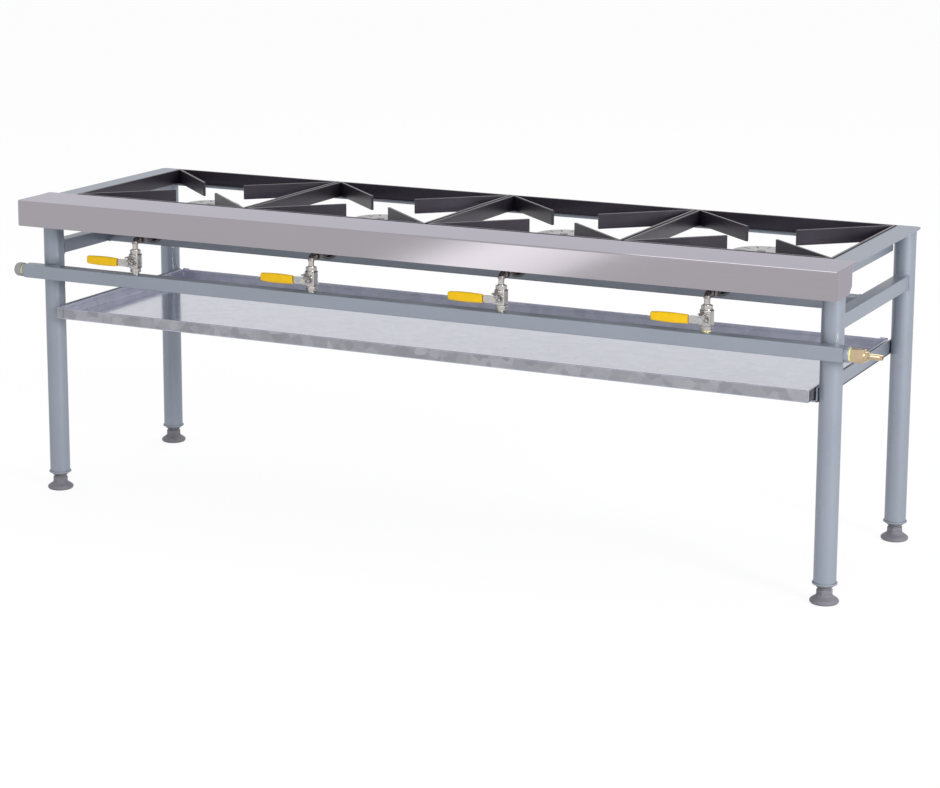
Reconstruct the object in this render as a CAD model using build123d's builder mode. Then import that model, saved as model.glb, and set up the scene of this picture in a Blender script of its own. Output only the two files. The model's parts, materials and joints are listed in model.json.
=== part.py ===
from build123d import *
import math
import os

# Four-burner gas boiling table, floor standing, millimetres, +Z up.
# X runs along the table, the cook stands at -Y, the floor is Z = 0.

os.makedirs("parts", exist_ok=True)

# Table
table_h = 571.0
leg_span_x = 1534.0
leg_span_y = 405.0
end_overhang = 26.0
front_overhang = 66.0

# Round tube legs and their feet
leg_od = 38.1
leg_wall = 2.0
insert_h = 28.5
insert_collar_d = 41.0
insert_collar_h = 8.0
insert_spigot_h = 25.0
insert_gap = 0.1
foot_bell_d = 49.5
foot_bell_h = 14.0
foot_neck_d = 29.0
foot_flats = 26.0
foot_stud_d = 10.0
foot_stud_reach = 28.0
thread_gap = 0.08

# Stainless front fascia
sheet_t = 1.5
fascia_h = 48.0
fascia_flange = 111.0
fascia_return = 78.0
return_clip_y = 15.0
return_clip_z = 12.0
corner_r_left = 18.0
corner_r_right = 5.0
fascia_edge_r = 3.0

# Angle iron of the top frame
angle_t = 3.0
side_angle_h = 39.5
ledge_w = 30.0

# Square tube rails, at a drop below the top as all that hangs there
rail_w = 25.4
rail_wall = 2.0
rail_corner_r = 2.0
rail_drop = 97.0
bar_setback = 165.0

# Undershelf, a shallow galvanised pan on two runners
shelf_t = 1.2
shelf_lip_h = 21.0
shelf_drop = 206.0
shelf_front = 34.0
shelf_back = 6.0
shelf_side_gap = 4.0
shelf_hem = 6.0
runner_t = 3.0
runner_w = 25.0

# Gas manifold along the front
manifold_w = 25.0
manifold_wall = 2.0
manifold_drop = 139.0
manifold_left = 41.0
manifold_right = 32.0
end_plate_t = 4.0
port_d = 9.0

# Closed end of the manifold
plug_d = 26.0
plug_len = 17.0
plug_collar_d = 24.0
plug_collar_t = 5.0
washer_d = 22.0
washer_t = 3.0

# Hose inlet
nipple_d = 17.0
nipple_len = 8.0
adaptor_flats = 25.0
adaptor_len = 28.0
tail_d = 9.5
barb_d = 11.6
barb_pitch = 5.0
barb_count = 3
tail_land_len = 4.0
tail_nose_len = 4.0
inlet_bore_d = 6.0

# Ball valves
stub_d = 13.5
stub_h = 4.5
valve_h = 42.0
valve_hex = 19.0
valve_hex_h = 8.0
valve_waist_d = 17.0
ball_d = 15.0
ball_gap = 0.04
seat_t = 3.0
chamber_d = 16.0
boss_d = 15.0
gland_hex = 14.0
gland_h = 5.0
gland_front = 24.0
stop_disc_d = 23.0
stop_disc_t = 3.0
stem_d = 6.0
stem_gap = 0.05
stem_flats = 4.4
stop_pin_d = 2.4
stop_pin_r = 9.0
stop_gap = 0.12

# Levers
lever_gap = 2.0
lever_t = 2.5
lever_w = 12.0
lever_len = 89.0
lever_head_d = 22.0
flats_gap = 0.05
grip_len = 67.0
grip_h = 18.6
grip_t = 8.5
nut_hex = 10.0
nut_h = 4.0

# Pipes from the valves to the burners
riser_od = 10.0
riser_bore = 7.0
riser_bend_r = 12.0
riser_reach = 42.0
injector_hex = 13.0
injector_len = 12.0
injector_nose_d = 8.0
injector_nose_len = 10.0
jet_d = 1.6

# Cast iron burners
burner_r = 58.0
burner_wall = 5.0
bowl_edge = 3.5
burner_drop = 39.0
burner_h = 32.0
mixer_wall = 4.5
mouth_d = 42.0
mouth_bore = 33.0
mouth_len = 28.0
mouth_gap = 6.0
burner_foot_w = 40.0
burner_foot_t = 8.0
post_d = 20.0
cap_t = 6.0
cap_lip_h = 5.0
cap_gap = 0.2
port_slot_len = 16.0
port_slot_w = 3.0
port_count = 12
port_circle_r = 38.0
bolt_d = 8.0
bolt_head = 13.0
bolt_head_h = 4.5

# Pan supports
trivet_count = 4
trivet_gap = 4.5
trivet_bar_h = 27.5
trivet_bar_t = 5.0
trivet_end_gap = 1.3
trivet_side_gap = 6.0
finger_tip_x = 45.0
finger_tip_y = 52.0

# Derived places, with the origin under the middle of the whole outline
left_reach = leg_span_x / 2 + manifold_left + plug_collar_t + washer_t + plug_len
tail_len = tail_land_len + barb_count * barb_pitch + tail_nose_len
right_reach = leg_span_x / 2 + manifold_right + nipple_len + washer_t + adaptor_len + tail_len
mid_x = (left_reach - right_reach) / 2
leg_r = leg_od / 2
depth_all = front_overhang + leg_span_y + max(leg_r, foot_bell_d / 2)
front_y = -depth_all / 2
leg_front_y = front_y + front_overhang
leg_back_y = leg_front_y + leg_span_y
back_y = leg_back_y + leg_r
leg_xs = [mid_x - leg_span_x / 2, mid_x + leg_span_x / 2]
inner_half = leg_span_x / 2 - leg_r
top_half = leg_span_x / 2 + end_overhang
frame_top = table_h - sheet_t
leg_top = frame_top - angle_t
leg_base = insert_h + insert_collar_h
ledge_top = table_h - trivet_bar_h
ledge_base = ledge_top - angle_t
front_angle_y = front_y + fascia_flange
opening_y0 = front_angle_y
opening_y1 = back_y - angle_t
bar_y = leg_front_y + bar_setback + rail_w / 2
rail_mid_z = table_h - rail_drop
rail_top = rail_mid_z + rail_w / 2
manifold_y = leg_front_y - leg_r - manifold_w / 2
manifold_mid_z = table_h - manifold_drop
manifold_top = manifold_mid_z + manifold_w / 2
manifold_x0 = leg_xs[0] - manifold_left
manifold_x1 = leg_xs[1] + manifold_right
valve_base = manifold_top + stub_h
valve_mid_z = valve_base + valve_h / 2
valve_top = valve_base + valve_h
lever_back_y = manifold_y - gland_front - lever_gap
lever_front_y = lever_back_y - lever_t
burner_y = (opening_y0 + opening_y1) / 2
burner_rim_z = table_h - burner_drop
burner_base_z = burner_rim_z - burner_h
riser_mid_z = (burner_base_z + burner_rim_z) / 2 - 1
mixer_d = burner_h - bowl_edge - 1.5
mixer_bore = mixer_d - 2 * mixer_wall
trivet_pitch = (2 * inner_half - 2 * trivet_end_gap + trivet_gap) / trivet_count
trivet_x = trivet_pitch - trivet_gap
trivet_y = opening_y1 - opening_y0 - 2 * trivet_side_gap
trivet_xs = [mid_x + (i - (trivet_count - 1) / 2) * trivet_pitch for i in range(trivet_count)]
valve_xs = trivet_xs
shelf_top_z = table_h - shelf_drop
runner_top = shelf_top_z + 1.0
floor_z = shelf_top_z - shelf_lip_h


def save(piece, name):
    piece.part.label = name
    export_step(piece.part, f"parts/{name}.step")


def hexagon(across_flats):
    RegularPolygon(radius=across_flats / 2, side_count=6, major_radius=False)


# Stainless fascia: face, top flange and two short end returns folded from one sheet
with BuildPart() as fascia:
    with BuildSketch(Plane.XY.offset(table_h - fascia_h)):
        with Locations((mid_x, front_y + fascia_flange / 2)):
            Rectangle(2 * top_half, fascia_flange)
    extrude(amount=fascia_h)
    uprights = fascia.edges().filter_by(Axis.Z).group_by(Axis.Y)[0].sort_by(Axis.X)
    fillet(uprights[0], radius=corner_r_left)
    uprights = fascia.edges().filter_by(Axis.Z).group_by(Axis.Y)[0].sort_by(Axis.X)
    fillet(uprights[-1], radius=corner_r_right)
    top_rim = fascia.faces().sort_by(Axis.Z)[-1].edges().sort_by(Axis.Y)[:-1]
    fillet(top_rim, radius=fascia_edge_r)
    open_faces = [fascia.faces().sort_by(Axis.Z)[0], fascia.faces().sort_by(Axis.Y)[-1]]
    offset(amount=-sheet_t, openings=open_faces)
    # The end returns stop short of the flange and have a clipped lower corner
    return_y1 = front_y + fascia_return
    with BuildSketch(Plane.YZ.offset(mid_x - top_half - 1)):
        with BuildLine():
            Polyline(
                (return_y1 - return_clip_y, table_h - fascia_h - 1),
                (return_y1 - return_clip_y, table_h - fascia_h),
                (return_y1, table_h - fascia_h + return_clip_z),
                (return_y1, frame_top),
                (front_y + fascia_flange + 1, frame_top),
                (front_y + fascia_flange + 1, table_h - fascia_h - 1),
                close=True,
            )
        make_face()
    extrude(amount=2 * top_half + 2, mode=Mode.SUBTRACT)
save(fascia, "front_fascia")


# Side angles: the flat flange caps the legs, the upright flange runs between them
def side_angle(side):
    inner_x = mid_x + side * inner_half
    outer_x = mid_x + side * (top_half - fascia_edge_r)
    upright_x = inner_x + side * angle_t
    flange_y0 = front_y + fascia_edge_r
    front_corner_r = (corner_r_right if side > 0 else corner_r_left) - fascia_edge_r
    with BuildPart() as angle:
        with BuildSketch(Plane.XY.offset(leg_top)):
            with Locations(((inner_x + outer_x) / 2, (flange_y0 + back_y) / 2)):
                Rectangle(abs(outer_x - inner_x), back_y - flange_y0)
        extrude(amount=angle_t)
        with BuildSketch(Plane.XY.offset(frame_top - side_angle_h)):
            with Locations(((inner_x + upright_x) / 2, (leg_front_y + leg_back_y) / 2)):
                Rectangle(angle_t, leg_span_y - leg_od)
        extrude(amount=side_angle_h - angle_t)
        outer_corners = angle.edges().filter_by(Axis.Z).group_by(Axis.X)[-1 if side > 0 else 0]
        fillet(outer_corners.sort_by(Axis.Y)[-1], radius=leg_r / 2)
        fillet(outer_corners.sort_by(Axis.Y)[0], radius=front_corner_r)
    return angle


for name, side in (("left_side_angle", -1), ("right_side_angle", 1)):
    save(side_angle(side), name)


# Front and back angles, with the ledges that the pan supports rest on
def cross_angle(upright_y, inward):
    ledge_tip_y = upright_y + inward * ledge_w
    with BuildPart() as angle:
        with BuildSketch(Plane.YZ.offset(mid_x - inner_half)):
            with BuildLine():
                Polyline(
                    (upright_y, frame_top),
                    (upright_y - inward * angle_t, frame_top),
                    (upright_y - inward * angle_t, ledge_base),
                    (ledge_tip_y - inward * angle_t, ledge_base),
                    (ledge_tip_y - inward * angle_t, ledge_top),
                    (upright_y, ledge_top),
                    close=True,
                )
            make_face()
        extrude(amount=2 * inner_half)
    return angle


save(cross_angle(opening_y0, 1), "front_angle")
save(cross_angle(opening_y1, -1), "back_angle")


# Legs
def leg(x, y):
    with BuildPart() as tube:
        with BuildSketch(Plane.XY.offset(leg_base)):
            with Locations((x, y)):
                Circle(leg_r)
                Circle(leg_r - leg_wall, mode=Mode.SUBTRACT)
        extrude(amount=leg_top - leg_base)
    return tube


# Screw-in levelling foot: bell, neck with spanner flats, and stud
def foot(x, y):
    with BuildPart() as bell:
        with BuildSketch(Plane.XZ.offset(-y)):
            with BuildLine():
                Line((x, 0), (x + foot_bell_d / 2 - 3, 0))
                Line((x + foot_bell_d / 2 - 3, 0), (x + foot_bell_d / 2, 3))
                Line((x + foot_bell_d / 2, 3), (x + foot_bell_d / 2 - 1.5, 6))
                Spline(
                    (x + foot_bell_d / 2 - 1.5, 6),
                    (x + foot_neck_d / 2, foot_bell_h),
                    tangents=((-1, 0.35), (0, 1)),
                )
                Line((x + foot_neck_d / 2, foot_bell_h), (x + foot_neck_d / 2, insert_h))
                Line((x + foot_neck_d / 2, insert_h), (x + foot_stud_d / 2, insert_h))
                Line((x + foot_stud_d / 2, insert_h), (x + foot_stud_d / 2, insert_h + foot_stud_reach))
                Line((x + foot_stud_d / 2, insert_h + foot_stud_reach), (x, insert_h + foot_stud_reach))
                Line((x, insert_h + foot_stud_reach), (x, 0))
            make_face()
        revolve(axis=Axis((x, y, 0), (0, 0, 1)))
        with BuildSketch(Plane.XY.offset(foot_bell_h + 2)):
            with Locations((x, y)):
                Circle(foot_bell_d / 2)
                Rectangle(foot_flats, foot_bell_d, mode=Mode.SUBTRACT)
        extrude(amount=insert_h - foot_bell_h - 4, mode=Mode.SUBTRACT)
    return bell


leg_names = ["front_left", "front_right", "back_left", "back_right"]
leg_places = [(x, y) for y in (leg_front_y, leg_back_y) for x in leg_xs]
for name, (x, y) in zip(leg_names, leg_places):
    save(leg(x, y), f"{name}_leg")
    save(foot(x, y), f"{name}_foot")

# Threaded inserts in the leg ends
with BuildPart() as inserts:
    spigot_r = leg_r - leg_wall - insert_gap
    with BuildSketch(Plane.XY.offset(insert_h)):
        with Locations(*leg_places):
            Circle(insert_collar_d / 2)
            Circle(foot_stud_d / 2 + thread_gap, mode=Mode.SUBTRACT)
    extrude(amount=insert_collar_h)
    with BuildSketch(Plane.XY.offset(leg_base)):
        with Locations(*leg_places):
            Circle(spigot_r)
            Circle(foot_stud_d / 2 + thread_gap, mode=Mode.SUBTRACT)
    extrude(amount=insert_spigot_h)
save(inserts, "leg_inserts")


# Side rails, coped to the legs at both ends
def side_rail(x):
    with BuildPart() as rail:
        with BuildSketch(Plane.XZ.offset(-leg_front_y)):
            with Locations((x, rail_mid_z)):
                RectangleRounded(rail_w, rail_w, rail_corner_r)
                Rectangle(rail_w - 2 * rail_wall, rail_w - 2 * rail_wall, mode=Mode.SUBTRACT)
        extrude(amount=-leg_span_y)
        with BuildSketch(Plane.XY.offset(rail_mid_z - rail_w)):
            with Locations((x, leg_front_y), (x, leg_back_y)):
                Circle(leg_r)
        extrude(amount=2 * rail_w, mode=Mode.SUBTRACT)
    return rail


for name, x in zip(("left_side_rail", "right_side_rail"), leg_xs):
    save(side_rail(x), name)

# Burner bar between the side rails
with BuildPart() as bar:
    bar_half = leg_span_x / 2 - rail_w / 2
    with BuildSketch(Plane.YZ.offset(mid_x - bar_half)):
        with Locations((bar_y, rail_mid_z)):
            RectangleRounded(rail_w, rail_w, rail_corner_r)
            Rectangle(rail_w - 2 * rail_wall, rail_w - 2 * rail_wall, mode=Mode.SUBTRACT)
    extrude(amount=2 * bar_half)
save(bar, "burner_bar")

# Undershelf: floor, four upturned lips and a folded hem on the back one
with BuildPart() as shelf:
    shelf_half = inner_half - runner_t - shelf_side_gap
    shelf_y0 = leg_front_y - shelf_front
    shelf_y1 = leg_back_y + shelf_back
    shelf_mid_y = (shelf_y0 + shelf_y1) / 2
    with BuildSketch(Plane.XY.offset(floor_z)):
        with Locations((mid_x, shelf_mid_y)):
            Rectangle(2 * shelf_half, shelf_y1 - shelf_y0)
    extrude(amount=shelf_lip_h)
    pan_edges = shelf.edges().filter_by(Axis.Z) + shelf.faces().sort_by(Axis.Z)[0].edges()
    fillet(pan_edges, radius=2 * shelf_t)
    offset(amount=-shelf_t, openings=shelf.faces().sort_by(Axis.Z)[-1])
    with BuildSketch(Plane.XY.offset(shelf_top_z - shelf_t)):
        with Locations((mid_x, shelf_y1 - shelf_t - shelf_hem / 2)):
            Rectangle(2 * shelf_half - 2 * shelf_hem, shelf_hem)
    extrude(amount=shelf_t)
save(shelf, "undershelf")

# Shelf runners, two angles on the inner sides of the legs
with BuildPart() as runners:
    runner_len = shelf_y1 - shelf_y0
    for side in (-1, 1):
        face_x = mid_x + side * inner_half
        with BuildSketch(Plane.XZ.offset(-shelf_y0)):
            with BuildLine():
                Polyline(
                    (face_x, floor_z - runner_t),
                    (face_x, runner_top),
                    (face_x - side * runner_t, runner_top),
                    (face_x - side * runner_t, floor_z),
                    (face_x - side * runner_w, floor_z),
                    (face_x - side * runner_w, floor_z - runner_t),
                    close=True,
                )
            make_face()
        extrude(amount=-runner_len)
save(runners, "shelf_runners")

# Manifold: square tube, four ports on top
with BuildPart() as manifold:
    with BuildSketch(Plane.YZ.offset(manifold_x0 + end_plate_t)):
        with Locations((manifold_y, manifold_mid_z)):
            RectangleRounded(manifold_w, manifold_w, rail_corner_r)
            inner_w = manifold_w - 2 * manifold_wall
            Rectangle(inner_w, inner_w, mode=Mode.SUBTRACT)
    extrude(amount=manifold_x1 - manifold_x0 - 2 * end_plate_t)
    with BuildSketch(Plane.XY.offset(manifold_mid_z)):
        with Locations(*[(x, manifold_y) for x in valve_xs]):
            Circle(port_d / 2)
    extrude(amount=manifold_w, mode=Mode.SUBTRACT)
save(manifold, "gas_manifold")

# Welded end plates, bored for the plug and the inlet
with BuildPart() as plates:
    for plate_x in (manifold_x0, manifold_x1 - end_plate_t):
        with BuildSketch(Plane.YZ.offset(plate_x)):
            with Locations((manifold_y, manifold_mid_z)):
                RectangleRounded(manifold_w, manifold_w, 2 * rail_corner_r)
                Circle(inlet_bore_d / 2, mode=Mode.SUBTRACT)
        extrude(amount=end_plate_t)
save(plates, "manifold_end_plates")

# Closed end: collar, washer and domed plug
with BuildPart() as plug:
    with BuildSketch(Plane.YZ.offset(manifold_x0 - plug_collar_t)):
        with Locations((manifold_y, manifold_mid_z)):
            Circle(plug_collar_d / 2)
    extrude(amount=plug_collar_t)
    with BuildSketch(Plane.YZ.offset(manifold_x0 - plug_collar_t - washer_t)):
        with Locations((manifold_y, manifold_mid_z)):
            Circle(washer_d / 4)
    extrude(amount=washer_t)
    with BuildSketch(Plane.YZ.offset(manifold_x0 - plug_collar_t - washer_t - plug_len)):
        with Locations((manifold_y, manifold_mid_z)):
            Circle(plug_d / 2)
    extrude(amount=plug_len)
    outer_rim = plug.faces().sort_by(Axis.X)[0].edges()
    fillet(outer_rim, radius=plug_len / 2)
save(plug, "manifold_plug")

# Seal washers at the plug and at the inlet
inlet_x = manifold_x1 + nipple_len
with BuildPart() as washers:
    with BuildSketch(Plane.YZ.offset(manifold_x0 - plug_collar_t - washer_t)):
        with Locations((manifold_y, manifold_mid_z)):
            Circle(washer_d / 2)
            Circle(washer_d / 4, mode=Mode.SUBTRACT)
    extrude(amount=washer_t)
    with BuildSketch(Plane.YZ.offset(inlet_x)):
        with Locations((manifold_y, manifold_mid_z)):
            Circle(washer_d / 2)
            Circle(inlet_bore_d / 2, mode=Mode.SUBTRACT)
    extrude(amount=washer_t)
save(washers, "seal_washers")

with BuildPart() as nipple:
    with BuildSketch(Plane.YZ.offset(manifold_x1)):
        with Locations((manifold_y, manifold_mid_z)):
            Circle(nipple_d / 2)
            Circle(inlet_bore_d / 2, mode=Mode.SUBTRACT)
    extrude(amount=nipple_len)
save(nipple, "inlet_nipple")

# Brass adaptor and the barbed hose tail
adaptor_x = inlet_x + washer_t
with BuildPart() as adaptor:
    with BuildSketch(Plane.YZ.offset(adaptor_x)):
        with Locations((manifold_y, manifold_mid_z)):
            hexagon(adaptor_flats)
            Circle(inlet_bore_d / 2, mode=Mode.SUBTRACT)
    extrude(amount=adaptor_len)
    chamfer(adaptor.faces().sort_by(Axis.X)[-1].outer_wire().edges(), length=1.5)
save(adaptor, "inlet_adaptor")

with BuildPart() as tail:
    tail_x = adaptor_x + adaptor_len
    with BuildSketch(Plane.XY.offset(manifold_mid_z)):
        with BuildLine():
            barbs = [(tail_x, manifold_y), (tail_x, manifold_y + tail_d / 2)]
            for i in range(barb_count):
                step_x = tail_x + tail_land_len + i * barb_pitch
                barbs.append((step_x, manifold_y + tail_d / 2))
                barbs.append((step_x, manifold_y + barb_d / 2))
                barbs.append((step_x + barb_pitch, manifold_y + tail_d / 2 - 0.4))
            barbs.append((tail_x + tail_len - tail_nose_len, manifold_y + tail_d / 2))
            barbs.append((tail_x + tail_len, manifold_y + tail_d / 2))
            barbs.append((tail_x + tail_len, manifold_y))
            Polyline(*barbs, close=True)
        make_face()
    revolve(axis=Axis((tail_x, manifold_y, manifold_mid_z), (1, 0, 0)))
    with BuildSketch(Plane.YZ.offset(tail_x)):
        with Locations((manifold_y, manifold_mid_z)):
            Circle(inlet_bore_d / 2)
    extrude(amount=tail_len, mode=Mode.SUBTRACT)
save(tail, "hose_tail")

# Short nipples between the manifold and the valves
with BuildPart() as stubs:
    with BuildSketch(Plane.XY.offset(manifold_top)):
        with Locations(*[(x, manifold_y) for x in valve_xs]):
            Circle(stub_d / 2)
            Circle(port_d / 2, mode=Mode.SUBTRACT)
    extrude(amount=stub_h)
save(stubs, "valve_nipples")


# Ball valve body: hexed ends, ball chamber and stem boss, bored right through
def valve_body(x):
    chamber_r = chamber_d / 2
    chamber_half = ball_d / 2 + 1.0
    boss_back = manifold_y - chamber_r
    gland_face = manifold_y - gland_front
    pin_offset = stop_pin_r * math.sin(math.pi / 4)
    with BuildPart() as body:
        for hex_z in (valve_base, valve_top - valve_hex_h):
            with BuildSketch(Plane.XY.offset(hex_z)):
                with Locations((x, manifold_y)):
                    hexagon(valve_hex)
            extrude(amount=valve_hex_h)
        with BuildSketch(Plane.XZ.offset(-manifold_y)):
            with BuildLine():
                waist_x = x + valve_waist_d / 2
                belly_x = x + chamber_r + 4.5
                low = valve_base + valve_hex_h
                high = valve_top - valve_hex_h
                Polyline((waist_x, low), (x, low), (x, high), (waist_x, high))
                ThreePointArc((waist_x, high), (belly_x, valve_mid_z), (waist_x, low))
            make_face()
        revolve(axis=Axis((x, manifold_y, 0), (0, 0, 1)))
        with BuildSketch(Plane.XZ.offset(-boss_back)):
            with Locations((x, valve_mid_z)):
                Circle(boss_d / 2)
        extrude(amount=gland_front - chamber_r - gland_h)
        with BuildSketch(Plane.XZ.offset(-gland_face - gland_h - stop_disc_t)):
            with Locations((x, valve_mid_z)):
                Circle(stop_disc_d / 2)
        extrude(amount=stop_disc_t)
        with BuildSketch(Plane.XZ.offset(-gland_face - gland_h)):
            with Locations((x, valve_mid_z)):
                hexagon(gland_hex)
        extrude(amount=gland_h)
        # Stop pin for the lever head, up and to the right of the stem
        with BuildSketch(Plane.XZ.offset(-gland_face - gland_h)):
            with Locations((x + pin_offset, valve_mid_z + pin_offset)):
                Circle(stop_pin_d / 2)
        extrude(amount=gland_h + lever_gap + lever_t)
        # Chamber, stem bore and gas way
        with BuildSketch(Plane.XY.offset(valve_mid_z - chamber_half)):
            with Locations((x, manifold_y)):
                Circle(chamber_r)
        extrude(amount=2 * chamber_half, mode=Mode.SUBTRACT)
        with BuildSketch(Plane.XZ.offset(-manifold_y)):
            with Locations((x, valve_mid_z)):
                Circle(stem_d / 2 + stem_gap)
        extrude(amount=gland_front, mode=Mode.SUBTRACT)
        with BuildSketch(Plane.XY.offset(valve_base)):
            with Locations((x, manifold_y)):
                Circle(port_d / 2)
        extrude(amount=valve_h, mode=Mode.SUBTRACT)
    return body


# Bored ball and its stem in one, with two flats for the lever and a threaded end
def ball_stem(x):
    with BuildPart() as ball:
        with BuildSketch(Plane.XZ.offset(-manifold_y)):
            with BuildLine():
                ThreePointArc(
                    (x, valve_mid_z - ball_d / 2),
                    (x + ball_d / 2, valve_mid_z),
                    (x, valve_mid_z + ball_d / 2),
                )
                Line((x, valve_mid_z + ball_d / 2), (x, valve_mid_z - ball_d / 2))
            make_face()
        revolve(axis=Axis((x, manifold_y, 0), (0, 0, 1)))
        with BuildSketch(Plane.XZ.offset(-manifold_y)):
            with Locations((x, valve_mid_z)):
                Circle(stem_d / 2)
        extrude(amount=gland_front + lever_gap)
        with BuildSketch(Plane.XZ.offset(-lever_back_y)):
            with Locations((x, valve_mid_z)):
                Circle(stem_d / 2)
                Rectangle(stem_d, stem_flats, mode=Mode.INTERSECT)
        extrude(amount=lever_t)
        with BuildSketch(Plane.XZ.offset(-lever_front_y)):
            with Locations((x, valve_mid_z)):
                Circle(stem_flats / 2)
        extrude(amount=nut_h + 0.5)
        # The gas way crosses the flow while the lever points along the table
        with BuildSketch(Plane.YZ.offset(x - ball_d)):
            with Locations((manifold_y, valve_mid_z)):
                Circle(port_d / 2 - 0.5)
        extrude(amount=2 * ball_d, mode=Mode.SUBTRACT)
    return ball


# Lever plate: round head with a quarter-turn stop notch, and a flat arm
def lever_plate(x):
    notch_r = stop_pin_r - stop_pin_d / 2 - stop_gap
    slack = math.degrees(math.asin((stop_pin_d / 2 + stop_gap) / stop_pin_r))
    notch_end = 45 + slack
    far_r = lever_head_d
    notch_x = x + far_r * math.cos(math.radians(notch_end))
    notch_z = far_r * math.sin(math.radians(notch_end))
    with BuildPart() as plate:
        with BuildSketch(Plane.XZ.offset(-lever_back_y)):
            with Locations((x, valve_mid_z)):
                Circle(lever_head_d / 2)
            with BuildSketch(mode=Mode.SUBTRACT):
                with BuildLine():
                    Polyline(
                        (x, valve_mid_z),
                        (notch_x, valve_mid_z - notch_z),
                        (x + 2 * far_r, valve_mid_z),
                        (notch_x, valve_mid_z + notch_z),
                        close=True,
                    )
                make_face()
            with Locations((x, valve_mid_z)):
                Circle(notch_r)
            with Locations((x - lever_len / 2, valve_mid_z)):
                Rectangle(lever_len - grip_t, lever_w)
            with Locations((x, valve_mid_z)):
                Rectangle(stem_d + 2 * flats_gap, stem_flats + 2 * flats_gap, mode=Mode.SUBTRACT)
        extrude(amount=lever_t)
    return plate


# Moulded grip: a rounded sleeve closed at the far end
def lever_grip(x):
    grip_x1 = x - lever_len + grip_len
    mid_y = lever_back_y - lever_t / 2
    arm_end = x - lever_len + grip_t / 2
    with BuildPart() as grip:
        with BuildSketch(Plane.XZ.offset(-mid_y - grip_t / 2)):
            with Locations((x - lever_len + grip_len / 2, valve_mid_z)):
                RectangleRounded(grip_len, grip_h, grip_h / 3)
        extrude(amount=grip_t)
        chamfer(grip.faces().sort_by(Axis.Y)[0].edges(), length=grip_t / 4)
        chamfer(grip.faces().sort_by(Axis.Y)[-1].edges(), length=grip_t / 4)
        with BuildSketch(Plane.YZ.offset(arm_end)):
            with Locations((mid_y, valve_mid_z)):
                Rectangle(lever_t, lever_w)
        extrude(amount=grip_x1 - arm_end + 1, mode=Mode.SUBTRACT)
    return grip


def lever_nut(x):
    with BuildPart() as nut:
        with BuildSketch(Plane.XZ.offset(-lever_front_y)):
            with Locations((x, valve_mid_z)):
                hexagon(nut_hex)
                Circle(stem_flats / 2, mode=Mode.SUBTRACT)
        extrude(amount=nut_h)
        chamfer(nut.faces().sort_by(Axis.Y)[0].outer_wire().edges(), length=0.6)
    return nut


for number, x in enumerate(valve_xs, start=1):
    save(valve_body(x), f"valve_{number}_body")
    save(ball_stem(x), f"valve_{number}_ball_stem")
    save(lever_plate(x), f"valve_{number}_lever")
    save(lever_grip(x), f"valve_{number}_grip")
    save(lever_nut(x), f"valve_{number}_lever_nut")

# Seat rings above and below each ball
with BuildPart() as seats:
    seat_tip = ball_d / 2 + 1.0
    with BuildSketch(Plane.XY.offset(valve_mid_z - seat_tip)):
        with Locations(*[(x, manifold_y) for x in valve_xs]):
            Circle(chamber_d / 2 - ball_gap)
            Circle(port_d / 2, mode=Mode.SUBTRACT)
    extrude(amount=seat_t)
    with BuildSketch(Plane.XY.offset(valve_mid_z + seat_tip - seat_t)):
        with Locations(*[(x, manifold_y) for x in valve_xs]):
            Circle(chamber_d / 2 - ball_gap)
            Circle(port_d / 2, mode=Mode.SUBTRACT)
    extrude(amount=seat_t)
    with Locations(*[(x, manifold_y, valve_mid_z) for x in valve_xs]):
        Sphere(ball_d / 2 + ball_gap, mode=Mode.SUBTRACT)
save(seats, "valve_seats")

# Riser pipes: up from each valve and back towards the burner
with BuildPart() as risers:
    for x in valve_xs:
        bend_z = riser_mid_z - riser_bend_r
        bend_y = manifold_y + riser_bend_r
        with BuildSketch(Plane.XY.offset(valve_top)):
            with Locations((x, manifold_y)):
                Circle(riser_od / 2)
                Circle(riser_bore / 2, mode=Mode.SUBTRACT)
        extrude(amount=bend_z - valve_top)
        with BuildSketch(Plane.XY.offset(bend_z)):
            with Locations((x, manifold_y)):
                Circle(riser_od / 2)
                Circle(riser_bore / 2, mode=Mode.SUBTRACT)
        revolve(axis=Axis((x, bend_y, bend_z), (-1, 0, 0)), revolution_arc=90)
        with BuildSketch(Plane.XZ.offset(-bend_y)):
            with Locations((x, riser_mid_z)):
                Circle(riser_od / 2)
                Circle(riser_bore / 2, mode=Mode.SUBTRACT)
        extrude(amount=riser_bend_r - riser_reach)
save(risers, "riser_pipes")

# Injectors: hex body and tapered nose with the jet
with BuildPart() as injectors:
    injector_y = manifold_y + riser_reach
    nose_y = injector_y + injector_len
    injector_places = [(x, riser_mid_z) for x in valve_xs]
    with BuildSketch(Plane.XZ.offset(-injector_y)):
        with Locations(*injector_places):
            hexagon(injector_hex)
    extrude(amount=-injector_len)
    with BuildSketch(Plane.XZ.offset(-nose_y)):
        with Locations(*injector_places):
            Circle(injector_nose_d / 2)
    extrude(amount=-injector_nose_len, taper=8)
    with BuildSketch(Plane.XZ.offset(-injector_y)):
        with Locations(*injector_places):
            Circle(jet_d / 2)
    extrude(amount=-injector_len - injector_nose_len, mode=Mode.SUBTRACT)
save(injectors, "injectors")


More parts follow.
